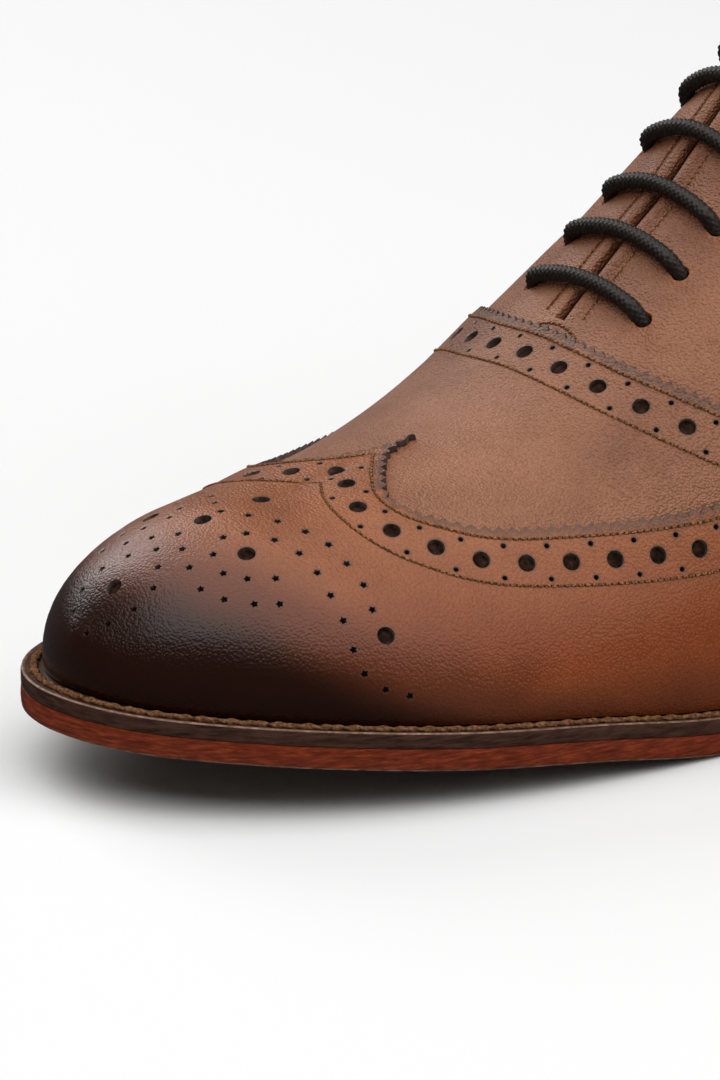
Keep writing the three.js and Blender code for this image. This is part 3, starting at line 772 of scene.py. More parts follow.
class Wire:
    """A socket in a material, with arithmetic."""

    def __init__(self, surface, socket):
        self.surface, self.socket = surface, socket

    def maths(self, operation, *values, **settings):
        return self.surface.node("ShaderNodeMath", *values, operation=operation, **settings)

    def __add__(self, other):
        return self.maths("ADD", self, other)

    __radd__ = __add__

    def __mul__(self, other):
        return self.maths("MULTIPLY", self, other)

    __rmul__ = __mul__

    def __sub__(self, other):
        return self.maths("SUBTRACT", self, other)

    def __rsub__(self, other):
        return self.maths("SUBTRACT", other, self)

    def __truediv__(self, other):
        return self.maths("DIVIDE", self, other)

    def __pow__(self, other):
        return self.maths("POWER", self, other)

    def over(self, other):
        return self.maths("MAXIMUM", self, other)

    def under(self, other):
        return self.maths("MINIMUM", self, other)

    def band(self, low, high, start=0.0, end=1.0):
        """Smooth change from start to end while the value goes from low to high."""
        return self.surface.node("ShaderNodeMapRange", self, low, high, start, end, output="Result",
                                 interpolation_type="SMOOTHSTEP")


class Surface:
    """One procedural material, built from its shader outward."""

    def __init__(self, name, color, roughness, **constants):
        self.material = bpy.data.materials.new(name)
        self.material.use_nodes = True
        self.tree = self.material.node_tree
        self.shader = self.tree.nodes["Principled BSDF"]
        self.put("Base Color", (*color, 1.0))
        self.put("Roughness", roughness)
        for key, value in constants.items():
            self.put(key.replace("_", " ").title().replace("Ior", "IOR"), value)
        self.place = self.node("ShaderNodeTexCoord", output="Object")

    def put(self, name, value):
        socket = self.shader.inputs[name]
        if isinstance(value, Wire):
            self.tree.links.new(value.socket, socket)
        else:
            socket.default_value = value

    def node(self, kind, *values, output=0, inputs=None, ramp=None, **settings):
        made = self.tree.nodes.new(kind)
        for key, value in settings.items():
            setattr(made, key, value)
        if ramp:
            stops = made.color_ramp.elements
            while len(stops) < len(ramp):
                stops.new(0.5)
            for stop, (position, color) in zip(stops, ramp):
                stop.position = position
                stop.color = (*color, 1.0) if len(color) == 3 else color
        pairs = list(enumerate(values)) + list((inputs or {}).items())
        for key, value in pairs:
            socket = made.inputs[key]
            if isinstance(value, Wire):
                self.tree.links.new(value.socket, socket)
            else:
                socket.default_value = value
        return Wire(self, made.outputs[output])

    def noise(self, scale, detail=2.0, roughness=0.5, place=None, distortion=0.0):
        return self.node("ShaderNodeTexNoise", inputs={
            "Vector": place or self.place, "Scale": scale, "Detail": detail, "Roughness": roughness,
            "Distortion": distortion})

    def cells(self, scale, place=None, feature="F1", smooth=None, output="Distance", randomness=1.0):
        inputs = {"Vector": place or self.place, "Scale": scale, "Randomness": randomness}
        if feature == "SMOOTH_F1":
            inputs["Smoothness"] = smooth or 0.5
        return self.node("ShaderNodeTexVoronoi", inputs=inputs, feature=feature, output=output)

    def axes(self, place=None):
        made = self.tree.nodes.new("ShaderNodeSeparateXYZ")
        self.tree.links.new((place or self.place).socket, made.inputs[0])
        return tuple(Wire(self, made.outputs[k]) for k in range(3))

    def stretched(self, x, y, z):
        return self.node("ShaderNodeMapping", inputs={"Vector": self.place, "Scale": (x, y, z)})

    def blend(self, factor, first, second, kind="MIX"):
        def shade(value):
            return value if isinstance(value, Wire) else (*value, 1.0)
        return self.node("ShaderNodeMix", inputs={0: factor, 6: shade(first), 7: shade(second)}, output=2,
                         data_type="RGBA", blend_type=kind)

    def value_of(self, name):
        return self.node("ShaderNodeAttribute", output="Fac", attribute_name=name)

    def bump(self, height, strength, distance, below=None):
        inputs = {"Strength": strength, "Distance": distance, "Height": height}
        if below is not None:
            inputs["Normal"] = below
        return self.node("ShaderNodeBump", inputs=inputs)


def tint(color, amount):
    """A lighter or darker shade of a brown, which also shifts its hue a little."""
    return tuple(max(c * (1 + amount * weight), 0.0) for c, weight in zip(color, (1.0, 1.2, 1.4)))


def leather(name, mid, looks, roughness=0.46, coat=0.05, grain=0.75, burnish_and_shade=0.0, gloss=0.45,
            rim=(0.10, 0.054, 0.036)):
    """Calf: pebbled grain, cloudy dye, a polished dark toe with painted shade along the cap's bottom edge,
    and darker edges.
    """
    s = Surface(name, mid, roughness, coat_roughness=0.25, coat_ior=1.45, specular_ior_level=gloss)
    x, y, z = s.axes()
    clouds = s.noise(16, 3, 0.55)
    fine = s.noise(95, 3, 0.6)
    tone = clouds * 0.7 + fine * 0.3
    dark = tint(mid, -0.36)
    color = s.node("ShaderNodeValToRGB", tone, ramp=((0.36, dark), (0.5, mid), (0.66, tint(mid, 0.28))))
    pebble = s.cells(2000, feature="SMOOTH_F1", smooth=0.25)
    pores = s.noise(3200, 2, 0.6)
    # Darker and redder low on the toe's sides than on top
    color = s.blend(z.band(0.020, 0.046, 1.0, 0.0) * burnish_and_shade, color,
                    s.blend(1.0, color, (0.70, 0.40, 0.15), "MULTIPLY"))
    color = s.blend(pebble.band(0.25, 0.75) * 0.3, color, tint(mid, -0.6))
    # Burnishing, strongest low round the front of the toe and fading over the medallion, together with
    # painted shade: a dark band along the cap's bottom edge, all the way back, strongest round the toe
    drift = s.noise(28, 3, 0.6) * 0.024 - 0.012
    reach = y * -1.0 + drift * 0.7 - z * 1.6
    # Painted shade above the welt: the band below about 7.5 to 22 mm height, its top edge wavering
    low = (z * -1.0 + drift * 0.6).band(-0.022, -0.0075)
    toe_side = (y * -1.0 + drift).band(0.02, 0.11)
    burnish_and_shade_mask = reach.band(0.043, 0.096).over(low * (toe_side * 0.6 + 0.18)) * burnish_and_shade
    # Mahogany, then the darkest brown, over both the burnish and the band of painted shade
    color = s.blend(burnish_and_shade_mask.band(0.0, 0.6) * 0.92, color, tint(looks.burnish_and_shade, 8.0))
    color = s.blend(burnish_and_shade_mask.band(0.55, 1.0) * 0.97, color, tuple(looks.burnish_and_shade))
    color = s.blend(s.value_of("edge") * 0.85 * (burnish_and_shade_mask * -0.9 + 1.0), color, rim)
    s.put("Base Color", color)
    s.put("Roughness", (roughness - burnish_and_shade_mask * 0.12 + (fine - 0.5) * 0.08).over(0.12))
    s.put("Coat Weight", burnish_and_shade_mask * 0.14 + coat)
    wrinkle = s.noise(420, 2, 0.5)
    height = (pebble * -1.0 + pores * 0.2 + wrinkle * 0.15) * (1.0 - burnish_and_shade_mask * 0.6)
    s.put("Normal", s.bump(height, 0.9 * grain * looks.grain, 0.0006))
    return s.material


def mottled(name, ramp, scale, roughness, bump=0.4, depth=0.0003, stretch=None, **constants):
    """A material that one noise both colours and roughens."""
    s = Surface(name, ramp[len(ramp) // 2][1], roughness, **constants)
    tone = s.noise(1, 5, 0.68, place=s.stretched(*stretch)) if stretch else s.noise(scale, 3, 0.6)
    s.put("Base Color", s.node("ShaderNodeValToRGB", tone, ramp=ramp))
    s.put("Normal", s.bump(tone, bump, depth))
    return s.material


def shades(color, dark, light, low=0.33, high=0.68):
    """A ramp from a darker to a lighter shade of a colour."""
    color = tuple(color)
    return (low, tint(color, dark)), ((low + high) / 2, color), (high, tint(color, light))


MAKERS = {
    "cap leather": lambda looks: leather(
        "cap leather", tuple(looks.toe_leather), looks, roughness=0.36, coat=0.1, grain=0.38, burnish_and_shade=1.0,
        gloss=0.28),
    "vamp leather": lambda looks: leather("vamp leather", tuple(looks.leather), looks),
    # The quarters' leather a little lighter than the vamp's: painted light on the quarters; the counter
    # shares it
    "quarter leather": lambda looks: leather(
        "quarter leather", tint(looks.leather, 0.08), looks, rim=(0.30, 0.095, 0.028)),
    # The tongue's leather much darker than the vamp's: painted shade in the gap between the facings, where
    # the tongue shows
    "tongue leather": lambda looks: leather("tongue leather", tint(looks.leather, -0.5), looks),
    "raw leather edge": lambda looks: mottled("raw leather edge", shades((0.075, 0.044, 0.034), -0.6, 0.7),
                                              700, 0.8),
    # Very dark discs at the bottom of the punched holes: painted shade
    "flesh side": lambda looks: mottled("flesh side", shades((0.028, 0.013, 0.008), -0.6, 0.9), 900, 0.95,
                                        0.7,
                                        specular_ior_level=0.1),
    "lining leather": lambda looks: mottled("lining leather", shades((0.42, 0.25, 0.13), -0.3, 0.2), 60,
                                            0.6, 0.2),
    "thread": lambda looks: mottled("thread", shades(looks.thread, -0.62, 1.1, 0.38, 0.62), 2400, 0.6, 0.5,
                                    0.0002,
                                    specular_ior_level=0.3),
    # Dark discs between the stitches: painted shade of the needle holes
    "needle hole": lambda looks: Surface("needle hole", (0.012, 0.006, 0.004), 0.9).material,
    "waxed braid": lambda looks: mottled("waxed braid", shades(looks.lace, -0.5, 0.8), 1800, 0.45, 0.4,
                                         0.0002,
                                         specular_ior_level=0.3),
    "welt leather": lambda looks: mottled("welt leather", shades(looks.welt, -0.6, 0.6), 0, 0.45,
                                          stretch=(200, 200, 1500), specular_ior_level=0.2),
    "bevelled welt": lambda looks: mottled("bevelled welt", shades((0.17, 0.085, 0.05), -0.6, 0.8), 600,
                                           0.55),
    "welt thread": lambda looks: mottled("welt thread", shades((0.15, 0.068, 0.03), -0.62, 1.1, 0.3, 0.72),
                                         1500, 0.9,
                                         0.8, 0.0004, specular_ior_level=0.1),
    "sole edge": lambda looks: mottled("sole edge", shades(looks.sole, -0.55, 1.0, 0.3, 0.7), 0, 0.38,
                                       stretch=(260, 260, 2000), specular_ior_level=0.2),
    "tread leather": lambda looks: mottled("tread leather", shades((0.10, 0.068, 0.05), -0.3, 0.4), 70,
                                           0.55),
    "stacked leather": lambda looks: mottled("stacked leather", shades((0.075, 0.026, 0.014), -0.6, 0.7), 0,
                                             0.4,
                                             stretch=(80, 80, 1100), specular_ior_level=0.3),
    "heel rubber": lambda looks: mottled("heel rubber", shades((0.022, 0.02, 0.019), -0.35, 0.5), 400, 0.7),
}


def use(name):
    """The material of that name, made the first time that a piece asks for it."""
    return bpy.data.materials.get(name) or MAKERS[name](bpy.context.scene.shoe_looks)

HOLE_RIM = 0.42


def size(name):
    """One of the sizes that the panel offers, in millimetres."""
    return getattr(bpy.context.scene.shoe_sizes, name) * 1000


def hole(t, v, radius, count, star=0.0):
    """The outline of a punched hole and the ring of points about it."""
    return ring(t, v, radius, count, star), ring(t, v, radius + HOLE_RIM, count)


def panel_outline(edge_t, edge_v):
    """A front panel: its rear edge, then the foot line back round the toe."""
    last, first = edge_t[-1], edge_t[0]
    medial = foot_steps(last, 0.0)
    lateral = foot_steps(0.0, first)[1:-1]
    t = np.concatenate((edge_t, medial[1:], lateral))
    v = np.concatenate((edge_v, np.full(len(medial) - 1, 2.0), np.zeros(len(lateral))))
    return t, v


FOOT_T = np.linspace(0, 1, 3001)
FOOT_RUN = np.concatenate(([0], np.cumsum(np.linalg.norm(np.diff(foot_line(FOOT_T, 1), axis=0), axis=1))))


def foot_steps(start, end, step=1.5):
    """Values of t from start to end at even steps along the foot line."""
    low, high = np.interp((start, end), FOOT_T, FOOT_RUN)
    count = max(int(abs(high - low) / step), 1)
    return np.interp(np.linspace(low, high, count + 1), FOOT_RUN, FOOT_T)


BAND_TO_STITCH = 2.6
BAND_MIDDLE = 6.9
BAND_WIDTH = 11.3
PAIR_OFFSET = 3.0

cap_line = edge_path(CAP_EDGE)
vamp_line = edge_path(VAMP_EDGE)


def along_from(line, start, pitch, margin):
    """Lengths on a line at even steps both ways from a start, clear of its ends."""
    back = np.arange(start - pitch, margin, -pitch)[::-1]
    return np.concatenate((back, np.arange(start, line.length - margin, pitch)))


def band_holes(edge, pitch, start_r, margin=4.0):
    """Big holes down the middle of a punched band, with a pair of small ones between each two."""
    line = edge.beside(BAND_MIDDLE)
    ridge = np.argmin(np.abs(line.v - 1) + (np.abs(arc(line.t, line.v) - start_r) * 1e-3))
    start = line.lengths[ridge]
    places = along_from(line, start, pitch, margin)
    holes, rings = [], []
    middle = line.at(places)
    for t, v in zip(middle.t, middle.v):
        outline, around = hole(t, v, size("big_hole") / 2, 20)
        holes.append(outline)
        rings.append(around)
    between = line.at(places[:-1] + pitch / 2)
    lefts = between.left * PAIR_OFFSET
    for offset in (lefts, -lefts):
        for t, v in zip(*move(between.t, between.v, offset)):
            outline, around = hole(t, v, size("small_hole") / 2, 8)
            holes.append(outline)
            rings.append(around)
    return holes, rings


# The medallion: along from the toe and out from the ridge over the leather, each pair on both sides
MEDALLION_BIG = ((41.0, 0.0), (28.9, 0.0), (11.4, 0.0), (28.1, 13.4), (41.0, 38.6))
MEDALLION_SMALL = (
    (32.6, 0.0), (23.9, 0.0), (19.5, 0.0), (34.8, 4.6), (37.5, 9.1), (39.6, 14.0), (41.2, 18.5),
    (41.6, 23.5),
    (41.8, 28.6), (40.8, 33.5), (27.6, 7.4), (31.0, 9.2), (33.8, 13.4), (35.5, 18.2), (35.8, 23.3),
    (35.5, 28.3), (35.3, 33.4), (35.0, 38.7), (35.6, 43.3), (38.4, 47.3), (42.1, 49.9), (21.6, 4.2),
    (24.0, 9.6), (22.9, 14.2), (25.3, 17.9), (29.1, 20.8), (19.8, 8.8), (18.7, 13.9), (20.5, 18.4),
    (23.9, 22.6), (27.3, 25.3), (16.9, 4.1), (14.0, 7.1), (10.5, 7.2), (7.4, 4.8), (5.2, 1.9),
)


def medallion_holes():
    holes, rings = [], []
    sorts = ((MEDALLION_BIG, size("big_hole") * 0.51, 20, 0.0),
             (MEDALLION_SMALL, size("small_hole") * 0.62, 10, 0.22))
    for table, radius, count, star in sorts:
        for y, r in table:
            for side in ((1, -1) if r else (1,)):
                t = t_at(y)
                v = from_ridge(t, side, r)[0]
                outline, around = hole(t, v, radius, count, star)
                holes.append(outline)
                rings.append(around)
    return holes, rings


def painted_hole_shade(name, holes, depth, slot):
    """Rough, very dark discs at the bottom of the punched holes: painted shade in the holes, over what lies
    below them.
    """
    points, faces = [], []
    for t, v in holes:
        start = sum(len(p) for p in points)
        points.append(on_skin(t, v, depth(t, v)))
        faces.append(tuple(range(start, start + len(t))))
    return make_piece(name, np.vstack(points), faces, (use("flesh side"),), slot=slot)


CAP_BAND_PITCH = 8.1
VAMP_BAND_PITCH = 8.9


def build_cap():
    edge = pinked(cap_line, size("pinking_pitch"), size("pinking_depth"))
    holes, rings = band_holes(cap_line, CAP_BAND_PITCH, 0.4)
    more, wider = medallion_holes()
    # Dark discs under the cap's holes: painted shade
    painted_hole_shade("wing_cap_hole_floors", holes + more, lambda t, v: cap_outer(t, v) + CAP_THICKNESS + 0.3,
                "wing_cap")
    return leather_piece(
        "wing_cap_leather", panel_outline(*edge), holes + more, cap_outer,
        lambda t, v: cap_outer(t, v) + CAP_THICKNESS + LAYER_GAP - 0.03,
        (use("cap leather"), use("raw leather edge"), use("raw leather edge")), rings=rings + wider,
        slot="wing_cap",
        stands_for=("wing_cap",))


def build_vamp():
    edge = pinked(vamp_line, size("pinking_pitch"), size("pinking_depth"))
    holes, rings = band_holes(vamp_line, VAMP_BAND_PITCH, 0.0)
    clear = [outline for outline in holes if ahead_of(CAP_EDGE, *outline).max() < -1.5]
    # Dark discs under the vamp's holes: painted shade
    painted_hole_shade("vamp_hole_floors", clear, lambda t, v: vamp_outer(t, v) + VAMP_THICKNESS + 0.3, "vamp")
    return leather_piece(
        "vamp_leather", panel_outline(*edge), holes, vamp_outer, lambda t, v: wall_outer(t, v) - 0.03,
        (use("vamp leather"), use("raw leather edge"), use("raw leather edge")), rings=rings, slot="vamp",
        stands_for=("vamp",))


UNDER_VAMP = 22.0
T_THROAT = float(t_at(THROAT_FOOT))


def opening(step=1.0):
    """The edge of throat and collar: up the lateral side, round the heel and down the medial side."""
    t = foot_steps(T_THROAT, 1.0, step)
    lateral, medial = wall_top(t, 1), wall_top(t, -1)
    return t, lateral, medial


def eyelet_places(side):
    y = THROAT_FOOT + FIRST_EYELET + np.arange(EYELETS) * EYELET_PITCH
    t = t_at(y)
    return t, from_ridge(t, side, EYELET_TO_EDGE)


FOLD_WIDTH = 3.4


def quarter_face(t, v):
    """The quarters' outside, with the edge of each facing folded over into a low round rib."""
    y = section(t)["along"] * SHOE_LENGTH
    from_edge = arc(t, v) - THROAT_GAP / 2
    rib = np.exp(-((from_edge - 1.1) / 1.05) ** 2) * smoothstep(y, THROAT_FOOT - 2, THROAT_FOOT + 5)
    groove = np.exp(-((from_edge - 3.0) / 0.55) ** 2) * smoothstep(y, THROAT_FOOT - 1, THROAT_FOOT + 3)
    on_facing = smoothstep(-y, -TOP_RIDGE - 2, -TOP_RIDGE + 6)
    return wall_outer(t, v) + (groove * 0.25 - rib * 0.55) * on_facing


def build_upper():
    v = np.linspace(0, 2, 140)
    up = np.where(v <= 1, v, 2 - v)
    reach = np.where(v <= 1, curve(VAMP_EDGE, up, 1), curve(VAMP_EDGE, up, 2)) * SHOE_LENGTH - UNDER_VAMP
    front = t_at(reach)
    medial = foot_steps(front[-1], 1.0)
    lateral = foot_steps(1.0, front[0])[1:-1]
    outline = (np.concatenate((front, medial[1:], lateral)),
               np.concatenate((v, np.full(len(medial) - 1, 2.0), np.zeros(len(lateral)))))
    t, near, far = opening()
    mouth = (np.concatenate((t, t[-2::-1])), np.concatenate((near, far[-2::-1])))
    holes, rings = [mouth], []
    for side in (1, -1):
        for at_t, at_v in zip(*eyelet_places(side)):
            outline_e, around = ring(at_t, at_v, EYELET_DIAMETER / 2 - 0.25, 18), ring(
                at_t, at_v, EYELET_DIAMETER / 2 + 0.5, 18)
            holes.append(outline_e)
            rings.append(around)
    for distance in (0.6, 1.2, 1.8, 2.4, 3.0, 3.6):
        for side in (1, -1):
            line = Path(t, wall_top(t, side)).beside(distance * (1 if side > 0 else -1) * -1)
            rings.append((line.t, line.v))

    def roll(t, v):
        y = section(t)["along"] * SHOE_LENGTH
        r = arc(t, v)
        eyelet = (np.abs(r - EYELET_TO_EDGE) < EYELET_DIAMETER) & (y < TOP_RIDGE)
        top = skin(t, v)[:, 2] > foot_height(t) + 8
        inside = ahead_of(VAMP_EDGE, t, v) < 5
        return np.where(eyelet, 0.25, np.where(top & inside, np.where(y < TOP_RIDGE, 0.3, 0.999), 0.0))

    return leather_piece(
        "quarters", outline, holes, quarter_face, wall_inner,
        (use("quarter leather"), use("lining leather")), rings=rings,
        roll=roll, slot="upper", stands_for=("upper",))


def counter_line():
    front = SHOE_LENGTH * SECTIONS[-1][0] - COUNTER_LENGTH
    t = foot_steps(float(t_at(front)), 1.0)
    share = (section(t)["along"] * SHOE_LENGTH - front) / COUNTER_LENGTH
    height = curve(COUNTER_EDGE, share, 1) * COUNTER_HEIGHT
    return (np.concatenate((t, t[-2::-1])),
            np.concatenate((from_foot(t, 1, height), from_foot(t, -1, height)[-2::-1])))


def counter_sides():
    """The counter's edge up the lateral side to the heel, and on down the medial side."""
    t, v = counter_line()
    half = len(t) // 2 + 1
    return Path(t[:half], v[:half]), Path(t[half - 1:],
                                          np.where(t[half - 1:] == 1, 2 - v[half - 1], v[half - 1:]))


def build_counter():
    lateral, medial = counter_sides()
    near = pinked(lateral, size("pinking_pitch"), -size("pinking_depth"))
    far = pinked(medial, size("pinking_pitch"), -size("pinking_depth"))
    edge_t, edge_v = np.concatenate((near[0], far[0][1:])), np.concatenate((near[1], far[1][1:]))
    medial = foot_steps(edge_t[-1], 1.0)
    lateral = foot_steps(1.0, edge_t[0])[1:-1]
    outline = (np.concatenate((edge_t, medial, lateral)),
               np.concatenate((edge_v, np.full(len(medial), 2.0), np.zeros(len(lateral)))))
    return leather_piece(
        "counter_leather", outline, [], counter_outer, lambda t, v: wall_outer(t, v) - 0.03,
        (use("quarter leather"), use("raw leather edge"), use("raw leather edge")), slot="heel_counter",
        stands_for=("heel_counter",))


def build_tongue():
    start = THROAT_FOOT - TONGUE_UNDER_VAMP
    f = np.linspace(0, 1, 60)
    t = t_at(start + TONGUE_LENGTH * f)
    half = curve(TONGUE_EDGE, f, 1) * TONGUE_WIDTH
    across = np.linspace(-1, 1, 24)[1:-1]
    ends = []
    for place, width, order in ((t[-1], half[-1], -1), (t[0], half[0], 1)):
        r = across * width * order
        side = np.where(r >= 0, 1, -1)
        ends.append((np.full(len(r), place), from_ridge(np.full(len(r), place), side, np.abs(r))))
    outline = (np.concatenate((t, ends[0][0], t[::-1], ends[1][0])),
               np.concatenate(
                   (from_ridge(t, 1, half), ends[0][1], from_ridge(t, -1, half)[::-1], ends[1][1])))
    return leather_piece(
        "tongue_leather", outline, [], lambda t, v: wall_inner(t, v) + TONGUE_GAP,
        lambda t, v: wall_inner(t, v) + TONGUE_GAP + TONGUE_THICKNESS,
        (use("tongue leather"), use("lining leather")),
        roll=lambda t, v: np.ones(len(t)), slot="tongue", stands_for=("tongue",))


def rings_to_tube(centres, normals, sides, radii, turns=None, squash=None):
    """A closed tube on a row of centres; its ends are closed with a point."""
    centres = np.asarray(centres)
    tangent = np.gradient(centres, axis=0)
    tangent /= np.linalg.norm(tangent, axis=1, keepdims=True)
    normals = normals - tangent * (normals * tangent).sum(1, keepdims=True)
    normals /= np.linalg.norm(normals, axis=1, keepdims=True)
    across = np.cross(tangent, normals)
    angle = np.arange(sides) * 2 * np.pi / sides
    radius = np.broadcast_to(np.asarray(radii), (len(centres), sides)) if np.ndim(radii) == 2 else (
        np.broadcast_to(radii, (len(centres),))[:, None] * np.ones(sides))
    height = radius if squash is None else radius * np.asarray(squash)[:, None]
    width = radius if squash is None else radius * (2 - np.asarray(squash))[:, None] ** 0.5
    rows = (centres[:, None] + across[:, None] * (np.cos(angle) * width)[..., None]
            + normals[:, None] * (np.sin(angle) * height)[..., None])
    points, faces = sweep(rows, closed_rows=False)
    faces = [face[::-1] for face in faces]
    count = len(points)
    points = np.vstack((points, centres[0] - tangent[0] * 0.3, centres[-1] + tangent[-1] * 0.3))
    last = (len(centres) - 1) * sides
    for j in range(sides):
        k = (j + 1) % sides
        faces.append((count, j, k))
        faces.append((count + 1, last + k, last + j))
    return points, faces


def smooth_line(points, step):
    """A rounded curve through points, at even steps."""
    points = np.asarray(points, float)
    padded = np.vstack((2 * points[0] - points[1], points, 2 * points[-1] - points[-2]))
    fine = []
    for k in range(len(points) - 1):
        a, b, c, d = padded[k:k + 4]
        for f in np.linspace(0, 1, 24, endpoint=False):
            fine.append(0.5 * (2 * b + (c - a) * f + (2 * a - 5 * b + 4 * c - d) * f ** 2
                               + (3 * b - a - 3 * c + d) * f ** 3))
    fine.append(points[-1])
    fine = np.array(fine)
    run = np.concatenate(([0], np.cumsum(np.linalg.norm(np.diff(fine, axis=0), axis=1))))
    count = max(int(run[-1] / step), 2)
    at = np.linspace(0, run[-1], count + 1)
    return np.column_stack([np.interp(at, run, fine[:, k]) for k in range(3)])


LACE_LIFT = 0.08


def lace_bar_points(index):
    """From the middle of the medial eyelet over the quarters to the lateral one."""
    y = THROAT_FOOT + FIRST_EYELET + index * EYELET_PITCH
    t = float(t_at(y))
    radius = size("lace_diameter") / 2
    points, ups = [], []
    for f in np.linspace(-1, 1, 15):
        reach = abs(f) * EYELET_TO_EDGE
        v = from_ridge(t, 1 if f > 0 else -1, reach)[0]
        edge = smoothstep(abs(f), 0.80, 1.0)
        high = (radius + LACE_LIFT + 0.4 * (1 - f * f)) * (1 - edge) - 1.2 * edge
        if abs(f) == 1:
            high = -1.6
        normal = outward(t, v)[0]
        points.append(skin(t, v)[0] - normal * wall_outer(np.array([t]), np.array([v]))[0] + normal * high)
        ups.append(normal)
    return np.array(points), np.array(ups)


def hidden_run(index_from, index_to, side, shift):
    """Under the quarters from one eyelet to another, pressed flat against the lining."""
    points, ups = [], []
    for f in np.linspace(0, 1, 9):
        y = THROAT_FOOT + FIRST_EYELET + (index_from + (index_to - index_from) * f) * EYELET_PITCH
        t = float(t_at(y))
        edge = math.sin(math.pi * f)
        v = from_ridge(t, side, EYELET_TO_EDGE + shift * edge)[0]
        normal = outward(t, v)[0]
        depth = wall_inner(np.array([t]), np.array([v]))[0] + 0.72
        points.append(skin(t, v)[0] - normal * depth)
        ups.append(normal)
    return np.array(points), np.array(ups)


def lace_strand(steps):
    points, ups, flatness = [], [], []
    for kind, *values in steps:
        if kind == "bar":
            index, heading = values
            p, u = lace_bar_points(index)
            if heading < 0:
                p, u = p[::-1], u[::-1]
            flatness += [1.0] * len(p)
        else:
            p, u = hidden_run(*values)
            p, u = p[1:-1], u[1:-1]
            flatness += [0.42] * len(p)
        points.append(p)
        ups.append(u)
    return np.vstack(points), np.vstack(ups), np.array(flatness)


# The two strands that leave the lowest bar: bars run lateral (+1) or medial (-1), runs hide underneath
STRANDS = (
    (("bar", 0, 1), ("run", 0, 1, 1, -1.2), ("bar", 1, -1), ("run", 1, 3, -1, 2.2), ("bar", 3, 1),
     ("run", 3, 5, 1, 2.2), ("bar", 5, -1)),
    (("run", 0, 2, -1, -2.2), ("bar", 2, 1), ("run", 2, 4, 1, -2.2), ("bar", 4, -1),
     ("run", 4, 5, -1, -1.2)),
)
BRAID_SIDES = 32
BRAID_DIAMOND = 1.15


def build_laces():
    points, faces = [], []
    for strand in STRANDS:
        line, ups, flatness = lace_strand(strand)
        centres = smooth_line(line, 0.16)
        full = np.concatenate(([0], np.cumsum(np.linalg.norm(np.diff(line, axis=0), axis=1))))
        run = np.linspace(0, 1, len(centres)) * full[-1]
        normal = np.column_stack([np.interp(run, full, ups[:, k]) for k in range(3)])
        squash = np.interp(run, full, flatness)
        angle = np.arange(BRAID_SIDES) * 2 * np.pi / BRAID_SIDES
        along = np.arange(len(centres))[:, None] * 0.16
        over = np.abs(np.sin(4 * angle[None] + along * np.pi / BRAID_DIAMOND))
        under = np.abs(np.sin(4 * angle[None] - along * np.pi / BRAID_DIAMOND))
        radii = size("lace_diameter") / 2 - 0.2 + 0.34 * np.sqrt(over * under)
        more, quads = rings_to_tube(centres, normal, BRAID_SIDES, radii, squash=squash)
        start = sum(len(p) for p in points)
        points.append(more)
        faces += [tuple(k + start for k in face) for face in quads]
    return make_piece("laces", np.vstack(points), faces, (use("waxed braid"),), slot="lace",
                      stands_for=tuple(f"lace_bar_{k + 1}" for k in range(EYELETS)), angle=80)




def stitch_shape():
    rings = []
    for x, r in ((-0.5, 0.25), (-0.36, 0.8), (0.0, 1.0), (0.36, 0.8), (0.5, 0.25)):
        angle = np.arange(6) * np.pi / 3
        rings.append(np.column_stack((np.full(6, x), np.cos(angle) * r, np.sin(angle) * r)))
    points, faces = sweep(rings, closed_rows=False)
    faces = [face[::-1] for face in faces]
    return points, faces + [tuple(range(6)), tuple(range(29, 23, -1))]


STITCH_POINTS, STITCH_FACES = stitch_shape()


def stitches(lines, depth, slant=14.0):
    """Threads lying along lines on the leather, with small dark discs between them that paint the shade of
    the needle holes.
    """
    pitch, radius = size("stitch_pitch"), size("thread_diameter") / 2
    length = pitch * 0.86
    points, faces, finish = [], [], []
    count = 0
    for line in lines:
        number = int(line.length / pitch)
        at = line.at((np.arange(number) + 0.5) * line.length / number)
        surface = on_skin(at.t, at.v, depth(at.t, at.v))
        normals = at.normals
        tangent = line.at(
            np.clip((np.arange(number) + 0.5) * line.length / number + 0.3, 0, line.length)).points - (
            line.at(np.clip((np.arange(number) + 0.5) * line.length / number - 0.3, 0, line.length)).points)
        tangent -= normals * (tangent * normals).sum(1, keepdims=True)
        tangent /= np.linalg.norm(tangent, axis=1, keepdims=True)
        left = np.cross(normals, tangent)
        turn = math.radians(slant)
        ahead = tangent * math.cos(turn) + left * math.sin(turn)
        beside = np.cross(normals, ahead)
        extent = np.array((length, radius * 1.15, radius))
        for k in range(number):
            body = STITCH_POINTS * extent
            points.append(surface[k] + normals[k] * 0.05 + ahead[k] * body[:, :1] + beside[k] * body[:, 1:2]
                          + normals[k] * body[:, 2:])
            faces += [tuple(i + count for i in face) for face in STITCH_FACES]
            finish += [0] * len(STITCH_FACES)
            count += len(body)
            # Painted shade of the needle hole: a flat dark disc on the leather between two stitches
            angle = np.arange(6) * np.pi / 3
            spot = surface[k] + normals[k] * 0.035 + tangent[k] * pitch / 2
            points.append(spot + tangent[k] * (np.cos(angle) * 0.24)[:, None]
                          + left[k] * (np.sin(angle) * 0.30)[:, None])
            faces.append(tuple(i + count for i in range(6)))
            finish.append(1)
            count += 6
    return np.vstack(points), faces, finish


def stitch_piece(name, lines, depth, slot, **options):
    points, faces, finish = stitches(lines, depth, **options)
    return make_piece(name, points, faces, (use("thread"), use("needle hole")), finish, slot=slot)


